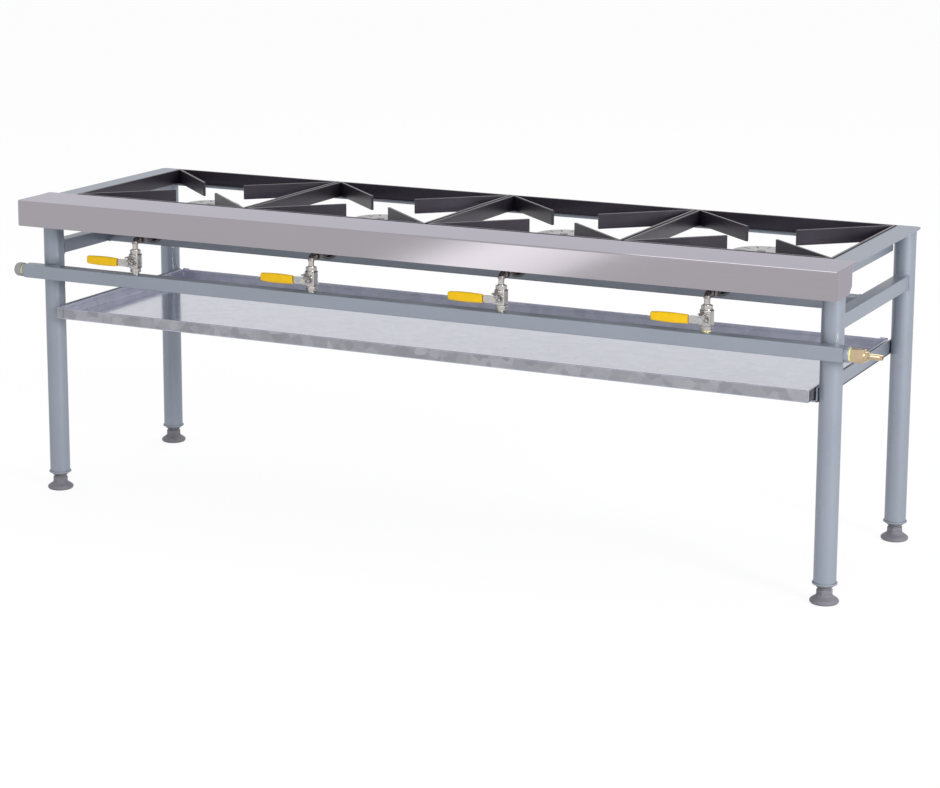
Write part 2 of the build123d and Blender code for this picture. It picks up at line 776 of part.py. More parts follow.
# Burner casting: round bowl, centre post, mixer tube with a flared mouth, and a foot on the bar
def burner(x):
    mouth_y = nose_y + mouth_gap
    throat_y = mouth_y + mouth_len
    head_y = burner_y
    with BuildPart() as casting:
        with BuildSketch(Plane.XZ.offset(-head_y)):
            with BuildLine():
                Polyline(
                    (x, burner_base_z),
                    (x + burner_r - bowl_edge, burner_base_z),
                    (x + burner_r, burner_base_z + bowl_edge),
                    (x + burner_r, burner_rim_z),
                    (x, burner_rim_z),
                    close=True,
                )
            make_face()
        revolve(axis=Axis((x, head_y, 0), (0, 0, 1)))
        with BuildSketch(Plane.YZ.offset(x)):
            with BuildLine():
                Polyline(
                    (mouth_y, riser_mid_z),
                    (mouth_y, riser_mid_z + mouth_d / 2),
                    (mouth_y + 4, riser_mid_z + mouth_d / 2),
                    (throat_y, riser_mid_z + mixer_d / 2),
                    (head_y - post_d, riser_mid_z + mixer_d / 2),
                    (head_y - post_d, riser_mid_z),
                    close=True,
                )
            make_face()
        revolve(axis=Axis((x, mouth_y, riser_mid_z), (0, 1, 0)))
        with BuildSketch(Plane.XY.offset(rail_top)):
            with Locations((x, bar_y)):
                RectangleRounded(burner_foot_w, rail_w, 4)
        extrude(amount=burner_foot_t)
        with BuildSketch(Plane.XY.offset(rail_top)):
            with Locations((x, bar_y)):
                Rectangle(burner_wall + 3, rail_w)
        extrude(amount=riser_mid_z - rail_top)
        # Hollow bowl, leaving the centre post, and the venturi bore
        with BuildSketch(Plane.XY.offset(burner_base_z + burner_wall)):
            with Locations((x, head_y)):
                Circle(burner_r - burner_wall)
                Circle(post_d / 2, mode=Mode.SUBTRACT)
        extrude(amount=burner_rim_z - burner_base_z, mode=Mode.SUBTRACT)
        with BuildSketch(Plane.YZ.offset(x)):
            with BuildLine():
                Polyline(
                    (mouth_y - 1, riser_mid_z),
                    (mouth_y - 1, riser_mid_z + mouth_bore / 2),
                    (mouth_y + 2, riser_mid_z + mouth_bore / 2),
                    (throat_y, riser_mid_z + mixer_bore / 2),
                    (head_y - burner_r + 2 * burner_wall, riser_mid_z + mixer_bore / 2),
                    (head_y - burner_r + 2 * burner_wall, riser_mid_z),
                    close=True,
                )
            make_face()
        revolve(axis=Axis((x, mouth_y, riser_mid_z), (0, 1, 0)), mode=Mode.SUBTRACT)
        with BuildSketch(Plane.XY.offset(burner_rim_z)):
            with Locations((x, head_y)):
                Circle(bolt_d / 2)
        extrude(amount=burner_base_z - burner_rim_z, mode=Mode.SUBTRACT)
    return casting


for number, x in enumerate(trivet_xs, start=1):
    save(burner(x), f"burner_{number}_casting")

# Burner caps: spigoted into the bowl, with a ring of flame slots
with BuildPart() as caps:
    cap_bore = burner_r - burner_wall - cap_gap
    for x in trivet_xs:
        with BuildSketch(Plane.XZ.offset(-burner_y)):
            with BuildLine():
                Polyline(
                    (x + bolt_d / 2, burner_rim_z),
                    (x + cap_bore - 4, burner_rim_z),
                    (x + cap_bore - 4, burner_rim_z - cap_lip_h),
                    (x + cap_bore, burner_rim_z - cap_lip_h),
                    (x + cap_bore, burner_rim_z),
                    (x + burner_r, burner_rim_z),
                    (x + burner_r, burner_rim_z + 3),
                    (x + burner_r - 6, burner_rim_z + cap_t),
                    (x + post_d, burner_rim_z + cap_t),
                    (x + post_d / 2 + 2, burner_rim_z + cap_t - 2),
                    (x + bolt_d / 2, burner_rim_z + cap_t - 2),
                    close=True,
                )
            make_face()
        revolve(axis=Axis((x, burner_y, 0), (0, 0, 1)))
    for x in trivet_xs:
        with BuildSketch(Plane.XY.offset(burner_rim_z - 1)):
            with Locations((x, burner_y)):
                with PolarLocations(port_circle_r, port_count):
                    Rectangle(port_slot_len, port_slot_w)
        extrude(amount=cap_t + 2, mode=Mode.SUBTRACT)
save(caps, "burner_caps")

# One hex bolt holds each cap down on the centre post
with BuildPart() as bolts:
    bolt_places = [(x, burner_y) for x in trivet_xs]
    bolt_seat = burner_rim_z + cap_t - 2
    with BuildSketch(Plane.XY.offset(bolt_seat)):
        with Locations(*bolt_places):
            hexagon(bolt_head)
    extrude(amount=bolt_head_h)
    with BuildSketch(Plane.XY.offset(burner_base_z)):
        with Locations(*bolt_places):
            Circle(bolt_d / 2 - thread_gap)
    extrude(amount=bolt_seat - burner_base_z)
save(bolts, "burner_bolts")


# Pan support: flat-bar frame and four fingers pointing at the burner
def trivet(x):
    outer_x = trivet_x / 2
    outer_y = trivet_y / 2
    with BuildPart() as grid:
        with BuildSketch(Plane.XY.offset(ledge_top)):
            with Locations((x, burner_y)):
                Rectangle(trivet_x, trivet_y)
                inner = (trivet_x - 2 * trivet_bar_t, trivet_y - 2 * trivet_bar_t)
                Rectangle(*inner, mode=Mode.SUBTRACT)
            for sx in (-1, 1):
                for sy in (-1, 1):
                    corner = (sx * (outer_x - trivet_bar_t), sy * (outer_y - trivet_bar_t))
                    tip = (sx * finger_tip_x, sy * finger_tip_y)
                    run = (tip[0] - corner[0], tip[1] - corner[1])
                    length = math.hypot(*run)
                    angle = math.degrees(math.atan2(run[1], run[0]))
                    middle = (x + (corner[0] + tip[0]) / 2, burner_y + (corner[1] + tip[1]) / 2)
                    with Locations(Location((middle[0], middle[1], 0), (0, 0, angle))):
                        Rectangle(length, trivet_bar_t)
        extrude(amount=trivet_bar_h)
    return grid


for number, x in enumerate(trivet_xs, start=1):
    save(trivet(x), f"pan_support_{number}")
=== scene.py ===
import math
import json
import bpy
import bmesh
from mathutils import Matrix, Vector


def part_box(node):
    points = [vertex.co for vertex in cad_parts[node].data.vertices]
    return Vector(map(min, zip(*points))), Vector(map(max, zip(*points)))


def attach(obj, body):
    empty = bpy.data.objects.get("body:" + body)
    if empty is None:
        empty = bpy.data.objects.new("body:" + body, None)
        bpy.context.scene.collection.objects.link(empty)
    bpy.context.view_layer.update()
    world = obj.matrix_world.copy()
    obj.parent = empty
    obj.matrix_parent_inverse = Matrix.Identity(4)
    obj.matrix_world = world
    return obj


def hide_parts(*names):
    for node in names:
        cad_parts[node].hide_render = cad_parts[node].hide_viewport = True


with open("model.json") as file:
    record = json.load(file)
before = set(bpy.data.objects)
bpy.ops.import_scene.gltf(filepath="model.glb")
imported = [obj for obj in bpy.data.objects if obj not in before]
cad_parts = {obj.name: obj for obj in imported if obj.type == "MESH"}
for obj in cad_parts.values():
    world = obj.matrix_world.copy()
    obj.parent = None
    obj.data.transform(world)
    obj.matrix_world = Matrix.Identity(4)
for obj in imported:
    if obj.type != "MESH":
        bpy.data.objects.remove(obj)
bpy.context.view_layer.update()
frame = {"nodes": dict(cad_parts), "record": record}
nodes = frame["nodes"]
print("frame loaded:", len(nodes), "nodes")


# Shader helpers: a socket that takes part in sums, and one call for any other node
class Sock:
    def __init__(self, tree, out):
        self.tree = tree
        self.out = out

    def math(self, operation, first, second=0.0):
        return addNode(self.tree, "ShaderNodeMath", {"operation": operation}, [first, second])

    def __add__(self, other):
        return self.math("ADD", self, other)

    def __radd__(self, other):
        return self.math("ADD", other, self)

    def __sub__(self, other):
        return self.math("SUBTRACT", self, other)

    def __rsub__(self, other):
        return self.math("SUBTRACT", other, self)

    def __mul__(self, other):
        return self.math("MULTIPLY", self, other)

    def __rmul__(self, other):
        return self.math("MULTIPLY", other, self)

    def below(self, limit):
        return self.math("LESS_THAN", self, limit)

    def clamp(self):
        return addNode(self.tree, "ShaderNodeClamp", {}, {"Value": self})


def plug(tree, socket, value):
    if isinstance(value, Sock):
        tree.links.new(value.out, socket)
    elif socket.type == "RGBA" and len(value) == 3:
        socket.default_value = (*value, 1.0)
    else:
        socket.default_value = value


def addNode(tree, kind, settings, inputs, output=0):
    node = tree.nodes.new(kind)
    for key, value in settings.items():
        setattr(node, key, value)
    pairs = inputs.items() if isinstance(inputs, dict) else enumerate(inputs)
    for key, value in pairs:
        plug(tree, node.inputs[key], value)
    return Sock(tree, node.outputs[output])


def newMaterial(name, sockets):
    mat = bpy.data.materials.new(name)
    mat.use_nodes = True
    tree = mat.node_tree
    shader = tree.nodes["Principled BSDF"]
    for key, value in sockets.items():
        plug(tree, shader.inputs[key], value)
    return tree, shader, mat


def objectCoords(tree, scale=(1, 1, 1)):
    coords = addNode(tree, "ShaderNodeTexCoord", {}, {}, "Object")
    return addNode(tree, "ShaderNodeMapping", {}, {"Vector": coords, "Scale": scale})


def along(tree, where, axis):
    return addNode(tree, "ShaderNodeSeparateXYZ", {}, {"Vector": where}, axis)


def noise(tree, where, scale, detail, rough=0.5):
    settings = {"Vector": where, "Scale": scale, "Detail": detail, "Roughness": rough}
    return addNode(tree, "ShaderNodeTexNoise", {}, settings, "Fac")


def ramp(tree, value, start, stop, shape="LINEAR"):
    inputs = {"Value": value, "From Min": start, "From Max": stop}
    return addNode(tree, "ShaderNodeMapRange", {"interpolation_type": shape}, inputs)


def mixColor(tree, share, first, second):
    settings = {"data_type": "RGBA"}
    return addNode(tree, "ShaderNodeMix", settings, {0: share, 6: first, 7: second}, 2)


def bumpFrom(tree, shader, height, strength, distance):
    inputs = {"Height": height, "Strength": strength, "Distance": distance}
    plug(tree, shader.inputs["Normal"], addNode(tree, "ShaderNodeBump", {}, inputs))


# Stainless: fine brushing along the table, a little cloudiness
stainlessLook = {
    "shader": {
        "Metallic": 1.0,
        "Anisotropic": 0.85,
        "Anisotropic Rotation": 0.25,
        "Specular Tint": (0.78, 0.77, 0.84),
    },
    "brushing": (6, 900, 900),  # lines a metre: few along the table, many across it
    "lineDetail": 3.0,
    "cloud": (3.0, 2.0),
    "lineShare": 0.6,
    "tones": ((0.345, 0.323, 0.349), (0.387, 0.362, 0.393)),
    "rough": 0.035,
    "roughLines": 0.03,
    "roughCloud": 0.015,
    "bump": (0.02, 0.0001),
}


def makeStainless(look):
    tree, shader, mat = newMaterial("brushedStainless", look["shader"])
    lines = noise(tree, objectCoords(tree, look["brushing"]), 1.0, look["lineDetail"])
    cloud = noise(tree, objectCoords(tree), *look["cloud"])
    mask = lines * look["lineShare"] + cloud * (1 - look["lineShare"])
    plug(tree, shader.inputs["Base Color"], mixColor(tree, mask, *look["tones"]))
    rough = look["rough"] + lines * look["roughLines"] + cloud * look["roughCloud"]
    plug(tree, shader.inputs["Roughness"], rough)
    bumpFrom(tree, shader, lines, *look["bump"])
    return mat


# Galvanised sheet: spangle on the floor, and rougher upturned lips with a bright rolled hem. The
# lips' darker tone at the front is painted shade, and their lighter tone further back is painted
# light; the hem's top keeps the floor's tone.
galvanisedLook = {
    "shader": {"Metallic": 0.85},
    "spangleScale": 55.0,
    "fine": (160.0, 3.0),
    "cloud": (4.0, 3.0),
    "shares": (0.55, 0.2, 0.25),  # of spangle, fine grain and cloud in the tone
    "lipSpan": (0.0014, 0.0024),  # heights over the floor where a lip's face starts and is full
    "hemRoll": 0.0012,
    # Lip tones: painted shade on the front lip, painted light on the lips further back; behindSpan
    # is where the painted light takes over
    "behindSpan": (0.01, 0.03),  # from the front lip back, where the back lip's tone takes over
    "floorTones": ((0.40, 0.412, 0.49), (0.50, 0.512, 0.60)),
    "frontShadeTones": ((0.22, 0.22, 0.25), (0.42, 0.42, 0.46)),
    "backLightTones": ((0.45, 0.46, 0.55), (0.60, 0.61, 0.70)),
    "rough": 0.07,
    "roughSpangle": 0.05,
    "roughCloud": 0.05,
    "roughLip": 0.28,
    "bump": (0.04, 0.0002),
}


def makeGalvanised(look):
    tree, shader, mat = newMaterial("galvanisedSheet", look["shader"])
    where = objectCoords(tree)
    cells = {"Vector": where, "Scale": look["spangleScale"], "Randomness": 1.0}
    grain = addNode(tree, "ShaderNodeTexVoronoi", {"feature": "F1"}, cells, "Color")
    spangle = addNode(tree, "ShaderNodeSeparateColor", {}, {"Color": grain}, 0)
    fine = noise(tree, where, *look["fine"])
    cloud = noise(tree, where, *look["cloud"])
    bySpangle, byFine, byCloud = look["shares"]
    mask = (spangle * bySpangle + fine * byFine + cloud * byCloud).clamp()
    low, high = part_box("undershelf")
    height = along(tree, where, "Z")
    lip = ramp(tree, height, *(low.z + rise for rise in look["lipSpan"]))
    lip = lip * (1 - ramp(tree, height, high.z - look["hemRoll"], high.z))
    # behind is the share of painted light on the lips, rising from the front lip's painted shade
    # towards the back
    behind = ramp(tree, along(tree, where, "Y"), *(low.y + step for step in look["behindSpan"]))
    floorTone = mixColor(tree, mask, *look["floorTones"])
    # The front lip's tone is painted shade, the back lips' tone is painted light
    frontShadeTone = mixColor(tree, mask, *look["frontShadeTones"])
    backLightTone = mixColor(tree, mask, *look["backLightTones"])
    lipShadeAndLightTone = mixColor(tree, behind, frontShadeTone, backLightTone)
    plug(tree, shader.inputs["Base Color"], mixColor(tree, lip, floorTone, lipShadeAndLightTone))
    rough = look["rough"] + spangle * look["roughSpangle"] + cloud * look["roughCloud"]
    plug(tree, shader.inputs["Roughness"], rough + lip * look["roughLip"])
    bumpFrom(tree, shader, fine, *look["bump"])
    return mat


# Plain coats and castings: a fine grain for the bump, and a cloud that moves tone and gloss.
# Where grainShare is given, the grain takes part in the tone and moves the gloss instead.
paintLook = {
    "shader": {
        "Metallic": 0.45,
        "Coat Weight": 0.08,
        "Coat Roughness": 0.25,
        "Specular Tint": (0.62, 0.62, 0.66),
    },
    "grain": (420.0, 2.0),
    "cloud": (9.0, 3.0),
    "spread": 0.1,
    "bump": (0.12, 0.0004),
}
enamelLook = {
    "shader": {"Specular IOR Level": 0.5, "Specular Tint": (0.86, 0.80, 0.94)},
    "grain": (300.0, 2.0),
    "cloud": (14.0, 4.0),
    "spread": 0.16,
    "bump": (0.15, 0.0004),
}
castLook = {
    "shader": {"Metallic": 0.35, "Specular IOR Level": 0.4},
    "grain": (700.0, 4.0, 0.6),
    "cloud": (22.0, 3.0),
    "grainShare": 0.4,
    "spread": 0.2,
    "bump": (0.5, 0.0006),
}
platedLook = {
    "shader": {"Metallic": 1.0},
    "grain": (420.0, 3.0),
    "cloud": (60.0, 2.0),
    "spread": 0.1,
    "bump": (0.35, 0.0003),
}
turnedLook = {**platedLook, "grain": (800.0, 3.0), "bump": (0.1, 0.0003)}
zincLook = {**platedLook, "grain": (500.0, 3.0), "bump": (0.15, 0.0003)}
vinylLook = {
    "shader": {"Specular IOR Level": 0.25},
    "grain": (900.0, 2.0),
    "cloud": (70.0, 2.0),
    "spread": 0.1,
    "bump": (0.08, 0.0002),
}
mouldedLook = {
    "shader": {"Specular IOR Level": 0.45},
    "grain": (1100.0, 2.0),
    "cloud": (45.0, 3.0),
    "spread": 0.12,
    "bump": (0.12, 0.0002),
}


def makeFinish(name, look, dark, light, rough):
    tree, shader, mat = newMaterial(name, look["shader"])
    where = objectCoords(tree)
    grain = noise(tree, where, *look["grain"])
    cloud = noise(tree, where, *look["cloud"])
    share = look.get("grainShare")
    mask = cloud * (1 - share) + grain * share if share else cloud
    plug(tree, shader.inputs["Base Color"], mixColor(tree, mask, dark, light))
    gloss = grain if share else cloud
    plug(tree, shader.inputs["Roughness"], rough + gloss * look["spread"])
    bumpFrom(tree, shader, grain, *look["bump"])
    return mat


finishes = {
    "stainless": makeStainless(stainlessLook),
    "galvanised": makeGalvanised(galvanisedLook),
    "frame_paint": makeFinish("blueGreyPaint", paintLook,
                              (0.225, 0.25, 0.295), (0.265, 0.292, 0.34), 0.3),
    "black_enamel": makeFinish("blackEnamel", enamelLook,
                               (0.010, 0.0085, 0.012), (0.021, 0.018, 0.025), 0.26),
    "cast_iron": makeFinish("castIron", castLook, (0.10, 0.10, 0.105), (0.19, 0.19, 0.20), 0.52),
    "dark_iron": makeFinish("malleableIron", castLook,
                            (0.15, 0.148, 0.15), (0.26, 0.255, 0.26), 0.52),
    "brass": makeFinish("turnedBrass", turnedLook, (0.44, 0.34, 0.21), (0.64, 0.515, 0.345), 0.15),
    "nickel": makeFinish("platedValve", platedLook,
                         (0.40, 0.38, 0.37), (0.58, 0.56, 0.545), 0.2),
    "zinc_steel": makeFinish("zincPlate", zincLook,
                             (0.36, 0.355, 0.36), (0.58, 0.57, 0.57), 0.24),
    "yellow_grip": makeFinish("yellowVinyl", vinylLook,
                              (0.57, 0.345, 0.0), (0.68, 0.42, 0.001), 0.34),
    "foot_plastic": makeFinish("footPlastic", mouldedLook,
                               (0.124, 0.12, 0.139), (0.17, 0.164, 0.189), 0.45),
    "white_seal": makeFinish("sealPlastic", mouldedLook,
                             (0.8, 0.8, 0.78), (0.86, 0.86, 0.84), 0.4),
    "seal_fibre": makeFinish("sealFibre", mouldedLook,
                             (0.60, 0.60, 0.22), (0.74, 0.72, 0.34), 0.6),
}

# Single parts whose metal is lighter, darker or duller than the rest of their slot; the elbows'
# darker plate is partly painted shade and the injectors' brown brass is painted shade
capIron = makeFinish("groundIron", castLook, (0.31, 0.31, 0.32), (0.43, 0.43, 0.44), 0.52)
plugIron = makeFinish("plugIron", castLook, (0.24, 0.24, 0.255), (0.34, 0.34, 0.355), 0.52)
# Aged plate mottled dark and light: partly the plating's own wear, partly painted shade from under
# the fascia with painted reflection spots
agedShadedElbowPlate = makeFinish("agedShadedElbowPlate", platedLook, (0.13, 0.105, 0.105), (0.44, 0.40, 0.39), 0.3)
# Rougher brass darkened to brown for the injectors: the darker tone is painted shade from under the
# fascia
shadedInjectorBrass = makeFinish("shadedInjectorBrass", turnedLook, (0.15, 0.125, 0.10), (0.24, 0.205, 0.165), 0.34)

slotOf = {part["node"]: part["material_slot"] for part in frame["record"]["subparts"]}
for name, node in nodes.items():
    node.data.materials.clear()
    node.data.materials.append(finishes[slotOf[name]])
nodes["burner_caps"].data.materials[0] = capIron
nodes["manifold_plug"].data.materials[0] = plugIron
print("finishes made:", len(finishes))


# Mesh helpers: shapes are added to one bmesh, which becomes a piece that rides on a body
turnTo = {
    "X": Matrix.Rotation(math.radians(90), 4, "Y"),
    "Y": Matrix.Rotation(math.radians(-90), 4, "X"),
    "Z": Matrix.Identity(4),
}
axisOf = {"X": Vector((1, 0, 0)), "Y": Vector((0, 1, 0)), "Z": Vector((0, 0, 1))}
sideOf = {"X": Vector((0, 0, 1)), "Y": Vector((1, 0, 0)), "Z": Vector((1, 0, 0))}


def flatsToRadius(flats, sides):
    return flats / 2 / math.cos(math.pi / sides)


def middleOf(nodeName):
    low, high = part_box(nodeName)
    return (low + high) / 2


def edgesOf(verts):
    return list(dict.fromkeys(edge for vert in verts for edge in vert.link_edges))


def vertsIn(geometry):
    return [part for part in geometry if isinstance(part, bmesh.types.BMVert)]


def closeHoles(bm, sides):
    rims = [edge for edge in bm.edges if edge.is_boundary]
    bmesh.ops.holes_fill(bm, edges=rims, sides=sides)


def roundOff(bm, edges, width, segments):
    bmesh.ops.bevel(bm, geom=edges, offset=width, affect="EDGES", segments=segments,
                    profile=0.5, material=-1)


def softenEdges(bm, verts, width, segments=2, sharpFrom=25):
    limit = math.radians(sharpFrom)
    sharp = [edge for edge in edgesOf(verts)
             if edge.is_manifold and edge.calc_face_angle(0) > limit]
    roundOff(bm, sharp, width, segments)


def addPrism(bm, sides, radius, depth, middle, axis="Z", edge=0.0004, segments=2):
    place = Matrix.Translation(middle) @ turnTo[axis]
    made = bmesh.ops.create_cone(bm, cap_ends=True, segments=sides, radius1=radius,
                                 radius2=radius, depth=depth, matrix=place)
    softenEdges(bm, made["verts"], edge, segments)


def addHex(bm, flats, depth, middle, axis, edge, segments=2):
    addPrism(bm, 6, flatsToRadius(flats, 6), depth, middle, axis, edge, segments)


def addBlock(bm, low, high, edge, segments=2):
    low, high = Vector(low), Vector(high)
    place = Matrix.Translation((low + high) / 2) @ Matrix.Diagonal((*(high - low), 1))
    made = bmesh.ops.create_cube(bm, size=1.0, matrix=place)
    softenEdges(bm, made["verts"], edge, segments)


def addTurned(bm, outline, middle, axis="Z", steps=32, closed=False):
    up, side = axisOf[axis], sideOf[axis]
    verts = [bm.verts.new(Vector(middle) + up * step + side * radius) for step, radius in outline]
    pairs = list(zip(verts, verts[1:])) + ([(verts[-1], verts[0])] if closed else [])
    edges = [bm.edges.new(pair) for pair in pairs]
    bmesh.ops.spin(bm, geom=verts + edges, cent=middle, axis=up, angle=math.tau,
                   steps=steps, use_merge=True)


def addBend(bm, radius, start, bendRadius, steps=10, sides=24):
    ring = bmesh.ops.create_circle(bm, segments=sides, radius=radius,
                                   matrix=Matrix.Translation(start))["verts"]
    centre = Vector(start) + axisOf["Y"] * bendRadius
    bmesh.ops.spin(bm, geom=ring + edgesOf(ring), cent=centre, axis=axisOf["X"],
                   angle=-math.pi / 2, steps=steps)
    closeHoles(bm, sides)


def makePiece(bm, name, body, slotName, replaced=(), smoothTo=32, finish=None):
    bmesh.ops.remove_doubles(bm, verts=bm.verts, dist=1e-6)
    bmesh.ops.recalc_face_normals(bm, faces=bm.faces)
    mesh = bpy.data.meshes.new(name)
    bm.to_mesh(mesh)
    bm.free()
    mesh.shade_smooth()
    mesh.set_sharp_from_angle(angle=math.radians(smoothTo))
    mesh.materials.append(finish or finishes[slotName])
    piece = bpy.data.objects.new(name, mesh)
    bpy.context.scene.collection.objects.link(piece)
    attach(piece, body)
    if replaced:
        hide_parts(*replaced)
    # Large faces set the normals, so they stay flat beside their rounded edges
    evenOut = piece.modifiers.new("faceWeights", "WEIGHTED_NORMAL")
    evenOut.mode = "FACE_AREA"
    evenOut.weight = 100
    evenOut.keep_sharp = True


burnerNumbers = range(1, 5)  # each has its valve and its pan support


# Valves: hexed ends, an eight-sided belly, a boss with two stop lugs and a hexed gland
valveLook = {
    "hexFlats": 0.0176,
    "hexHeight": 0.0066,
    "hexEdge": 0.0006,
    "collarRadius": 0.0088,
    "collarHeight": 0.0012,
    "collarOverlap": 0.0004,
    "collarEdge": 0.0003,
    "bellyFlats": 0.0236,
    "bellyEdge": 0.0016,
    "bossRadius": 0.0076,
    "bossStart": 0.009,
    "flangeAt": 0.0165,
    "flangeRadius": 0.0094,
    "flangeThick": 0.002,
    "glandFlats": 0.0128,
    "glandEnd": 0.024,
    "stemHole": 0.0031,
    "lugAngles": (-25.0, 115.0),
    "lugRadius": 0.0104,
    "lugReach": 0.0288,
    "lugSize": 0.0028,
    "lugEdge": 0.0005,
}


def valveAxis(number, height):
    return Vector((middleOf(f"valve_{number}_body").x, middleOf("valve_nipples").y, height))


def addGland(bm, look, centre):
    depth = look["glandEnd"] - look["flangeAt"]
    back = centre - axisOf["Y"] * look["flangeAt"]
    outer = bmesh.ops.create_circle(bm, segments=6, radius=flatsToRadius(look["glandFlats"], 6),
                                    matrix=Matrix.Translation(back) @ turnTo["Y"])["verts"]
    wall = bmesh.ops.extrude_edge_only(bm, edges=edgesOf(outer))["geom"]
    rim = vertsIn(wall)
    bmesh.ops.translate(bm, verts=rim, vec=(0, -depth, 0))
    front = [part for part in wall if isinstance(part, bmesh.types.BMEdge)
             and all(vert in rim for vert in part.verts)]
    face = Matrix.Translation(back - axisOf["Y"] * depth) @ turnTo["Y"]
    hole = bmesh.ops.create_circle(bm, segments=24, radius=look["stemHole"], matrix=face)["verts"]
    lip = edgesOf(hole)
    bmesh.ops.bridge_loops(bm, edges=front + lip)
    sunk = vertsIn(bmesh.ops.extrude_edge_only(bm, edges=lip)["geom"])
    bmesh.ops.translate(bm, verts=sunk, vec=(0, depth + look["flangeThick"], 0))
    closeHoles(bm, 24)


def addLug(bm, look, centre, angle):
    turn = math.radians(angle)
    lug = centre + Vector((math.cos(turn), 0, math.sin(turn))) * look["lugRadius"]
    half = look["lugSize"] / 2
    low, high = lug - Vector((half, 0, half)), lug + Vector((half, 0, half))
    low.y = centre.y - look["lugReach"]
    high.y = centre.y - look["flangeAt"] + look["flangeThick"]
    addBlock(bm, low, high, look["lugEdge"])


def makeValve(number, look):
    name = f"valve_{number}_body"
    low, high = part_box(name)
    foot, top = valveAxis(number, low.z), valveAxis(number, high.z)
    centre = (foot + top) / 2
    hexHeight, collarHeight = look["hexHeight"], look["collarHeight"]
    bm = bmesh.new()
    for end, away in ((foot, 1), (top, -1)):
        middle = end + axisOf["Z"] * away * hexHeight / 2
        addHex(bm, look["hexFlats"], hexHeight, middle, "Z", look["hexEdge"])
        middle = end + axisOf["Z"] * away * (hexHeight + collarHeight / 2)
        addPrism(bm, 32, look["collarRadius"], collarHeight + look["collarOverlap"], middle,
                 edge=look["collarEdge"])
    bellyHeight = high.z - low.z - 2 * (hexHeight + collarHeight)
    addPrism(bm, 8, flatsToRadius(look["bellyFlats"], 8), bellyHeight, centre,
             edge=look["bellyEdge"], segments=4)
    bossLength = look["flangeAt"] - look["bossStart"]
    middle = centre - axisOf["Y"] * (look["bossStart"] + bossLength / 2)
    addPrism(bm, 32, look["bossRadius"], bossLength, middle, "Y")
    middle = centre - axisOf["Y"] * (look["flangeAt"] - look["flangeThick"] / 2)
    addPrism(bm, 32, look["flangeRadius"], look["flangeThick"], middle, "Y")
    for angle in look["lugAngles"]:
        addLug(bm, look, centre, angle)
    addGland(bm, look, centre)
    makePiece(bm, f"valveShell_{number}", "frame", "nickel", [name])


# Levers: a flat arm with a thicker riveted root, a round head and a tail that meets the stop lugs
leverLook = {
    "headRadius": 0.0076,
    "armInset": 0.001,
    "armPastHead": 0.003,
    "armWidth": 0.0108,
    "rootSpan": (-0.0185, -0.0035),
    "rootWidth": 0.0132,
    "rootExtra": 0.0007,
    "rootBackShare": 0.2,  # of the extra thickness, on the back
    "tailSpan": (0.004, 0.0108),
    "tailWidth": 0.0042,
    "plateEdge": 0.0005,
    "rivetAt": -0.0125,
    "rivetRadius": 0.0026,
    "rivetHeight": 0.0012,
    "rivetSink": 0.0003,
    "rivetDome": ((0.5, 0.86), (0.85, 0.5), (1.0, 0.0)),  # shares of height and radius
    "washerRadius": 0.0062,
    "washerThick": 0.0008,
    "washerEdge": 0.0002,
    "nutFlats": 0.0098,
    "nutEdge": 0.0006,
}


def addPlate(bm, look, pivot, thick, span, width, extra=0.0):
    low = (span[0], pivot.y - thick / 2 - extra, pivot.z - width / 2)
    high = (span[1], pivot.y + thick / 2 - extra * look["rootBackShare"], pivot.z + width / 2)
    addBlock(bm, low, high, look["plateEdge"])


def makeLever(number, look):
    low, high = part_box(f"valve_{number}_lever")
    pivot = middleOf(f"valve_{number}_ball_stem")
    pivot.y = (low.y + high.y) / 2
    thick = high.y - low.y
    rootSpan = [pivot.x + step for step in look["rootSpan"]]
    tailSpan = [pivot.x + step for step in look["tailSpan"]]
    armSpan = (low.x + look["armInset"], pivot.x - look["armPastHead"])
    bm = bmesh.new()
    addPrism(bm, 32, look["headRadius"], thick, pivot, "Y")
    addPlate(bm, look, pivot, thick, armSpan, look["armWidth"])
    addPlate(bm, look, pivot, thick, rootSpan, look["rootWidth"], look["rootExtra"])
    addPlate(bm, look, pivot, thick, tailSpan, look["tailWidth"])
    sink, height, radius = look["rivetSink"], look["rivetHeight"], look["rivetRadius"]
    dome = [(sink, 0), (sink, radius)]
    dome += [(-height * rise, radius * wide) for rise, wide in look["rivetDome"]]
    face = pivot.y - thick / 2 - look["rootExtra"]
    addTurned(bm, dome, Vector((pivot.x + look["rivetAt"], face, pivot.z)), "Y", 20)
    body = f"lever_{number}"
    makePiece(bm, f"leverArm_{number}", body, "zinc_steel", [f"valve_{number}_lever"])
    low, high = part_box(f"valve_{number}_lever_nut")
    height = high.y - low.y - look["washerThick"]
    washer = Vector((pivot.x, high.y - look["washerThick"] / 2, pivot.z))
    nut = Vector((pivot.x, low.y + height / 2, pivot.z))
    bm = bmesh.new()
    addPrism(bm, 32, look["washerRadius"], look["washerThick"], washer, "Y", look["washerEdge"])
    addHex(bm, look["nutFlats"], height, nut, "Y", look["nutEdge"])
    makePiece(bm, f"leverNut_{number}", body, "zinc_steel", [f"valve_{number}_lever_nut"])


# Dipped sleeves: rounded far end, a slight swell along the middle and an open mouth
sleeveLook = {
    "height": 0.0168,
    "thick": 0.0084,
    "round": 0.0040,
    "mouthWall": 0.0016,
    "mouthDepth": 0.004,
    "swell": 0.04,
    "taper": 0.12,
    "fullAt": 1.1,  # where the sleeve is widest, counted from 0 to 2 along it
    "cuts": 14,
}


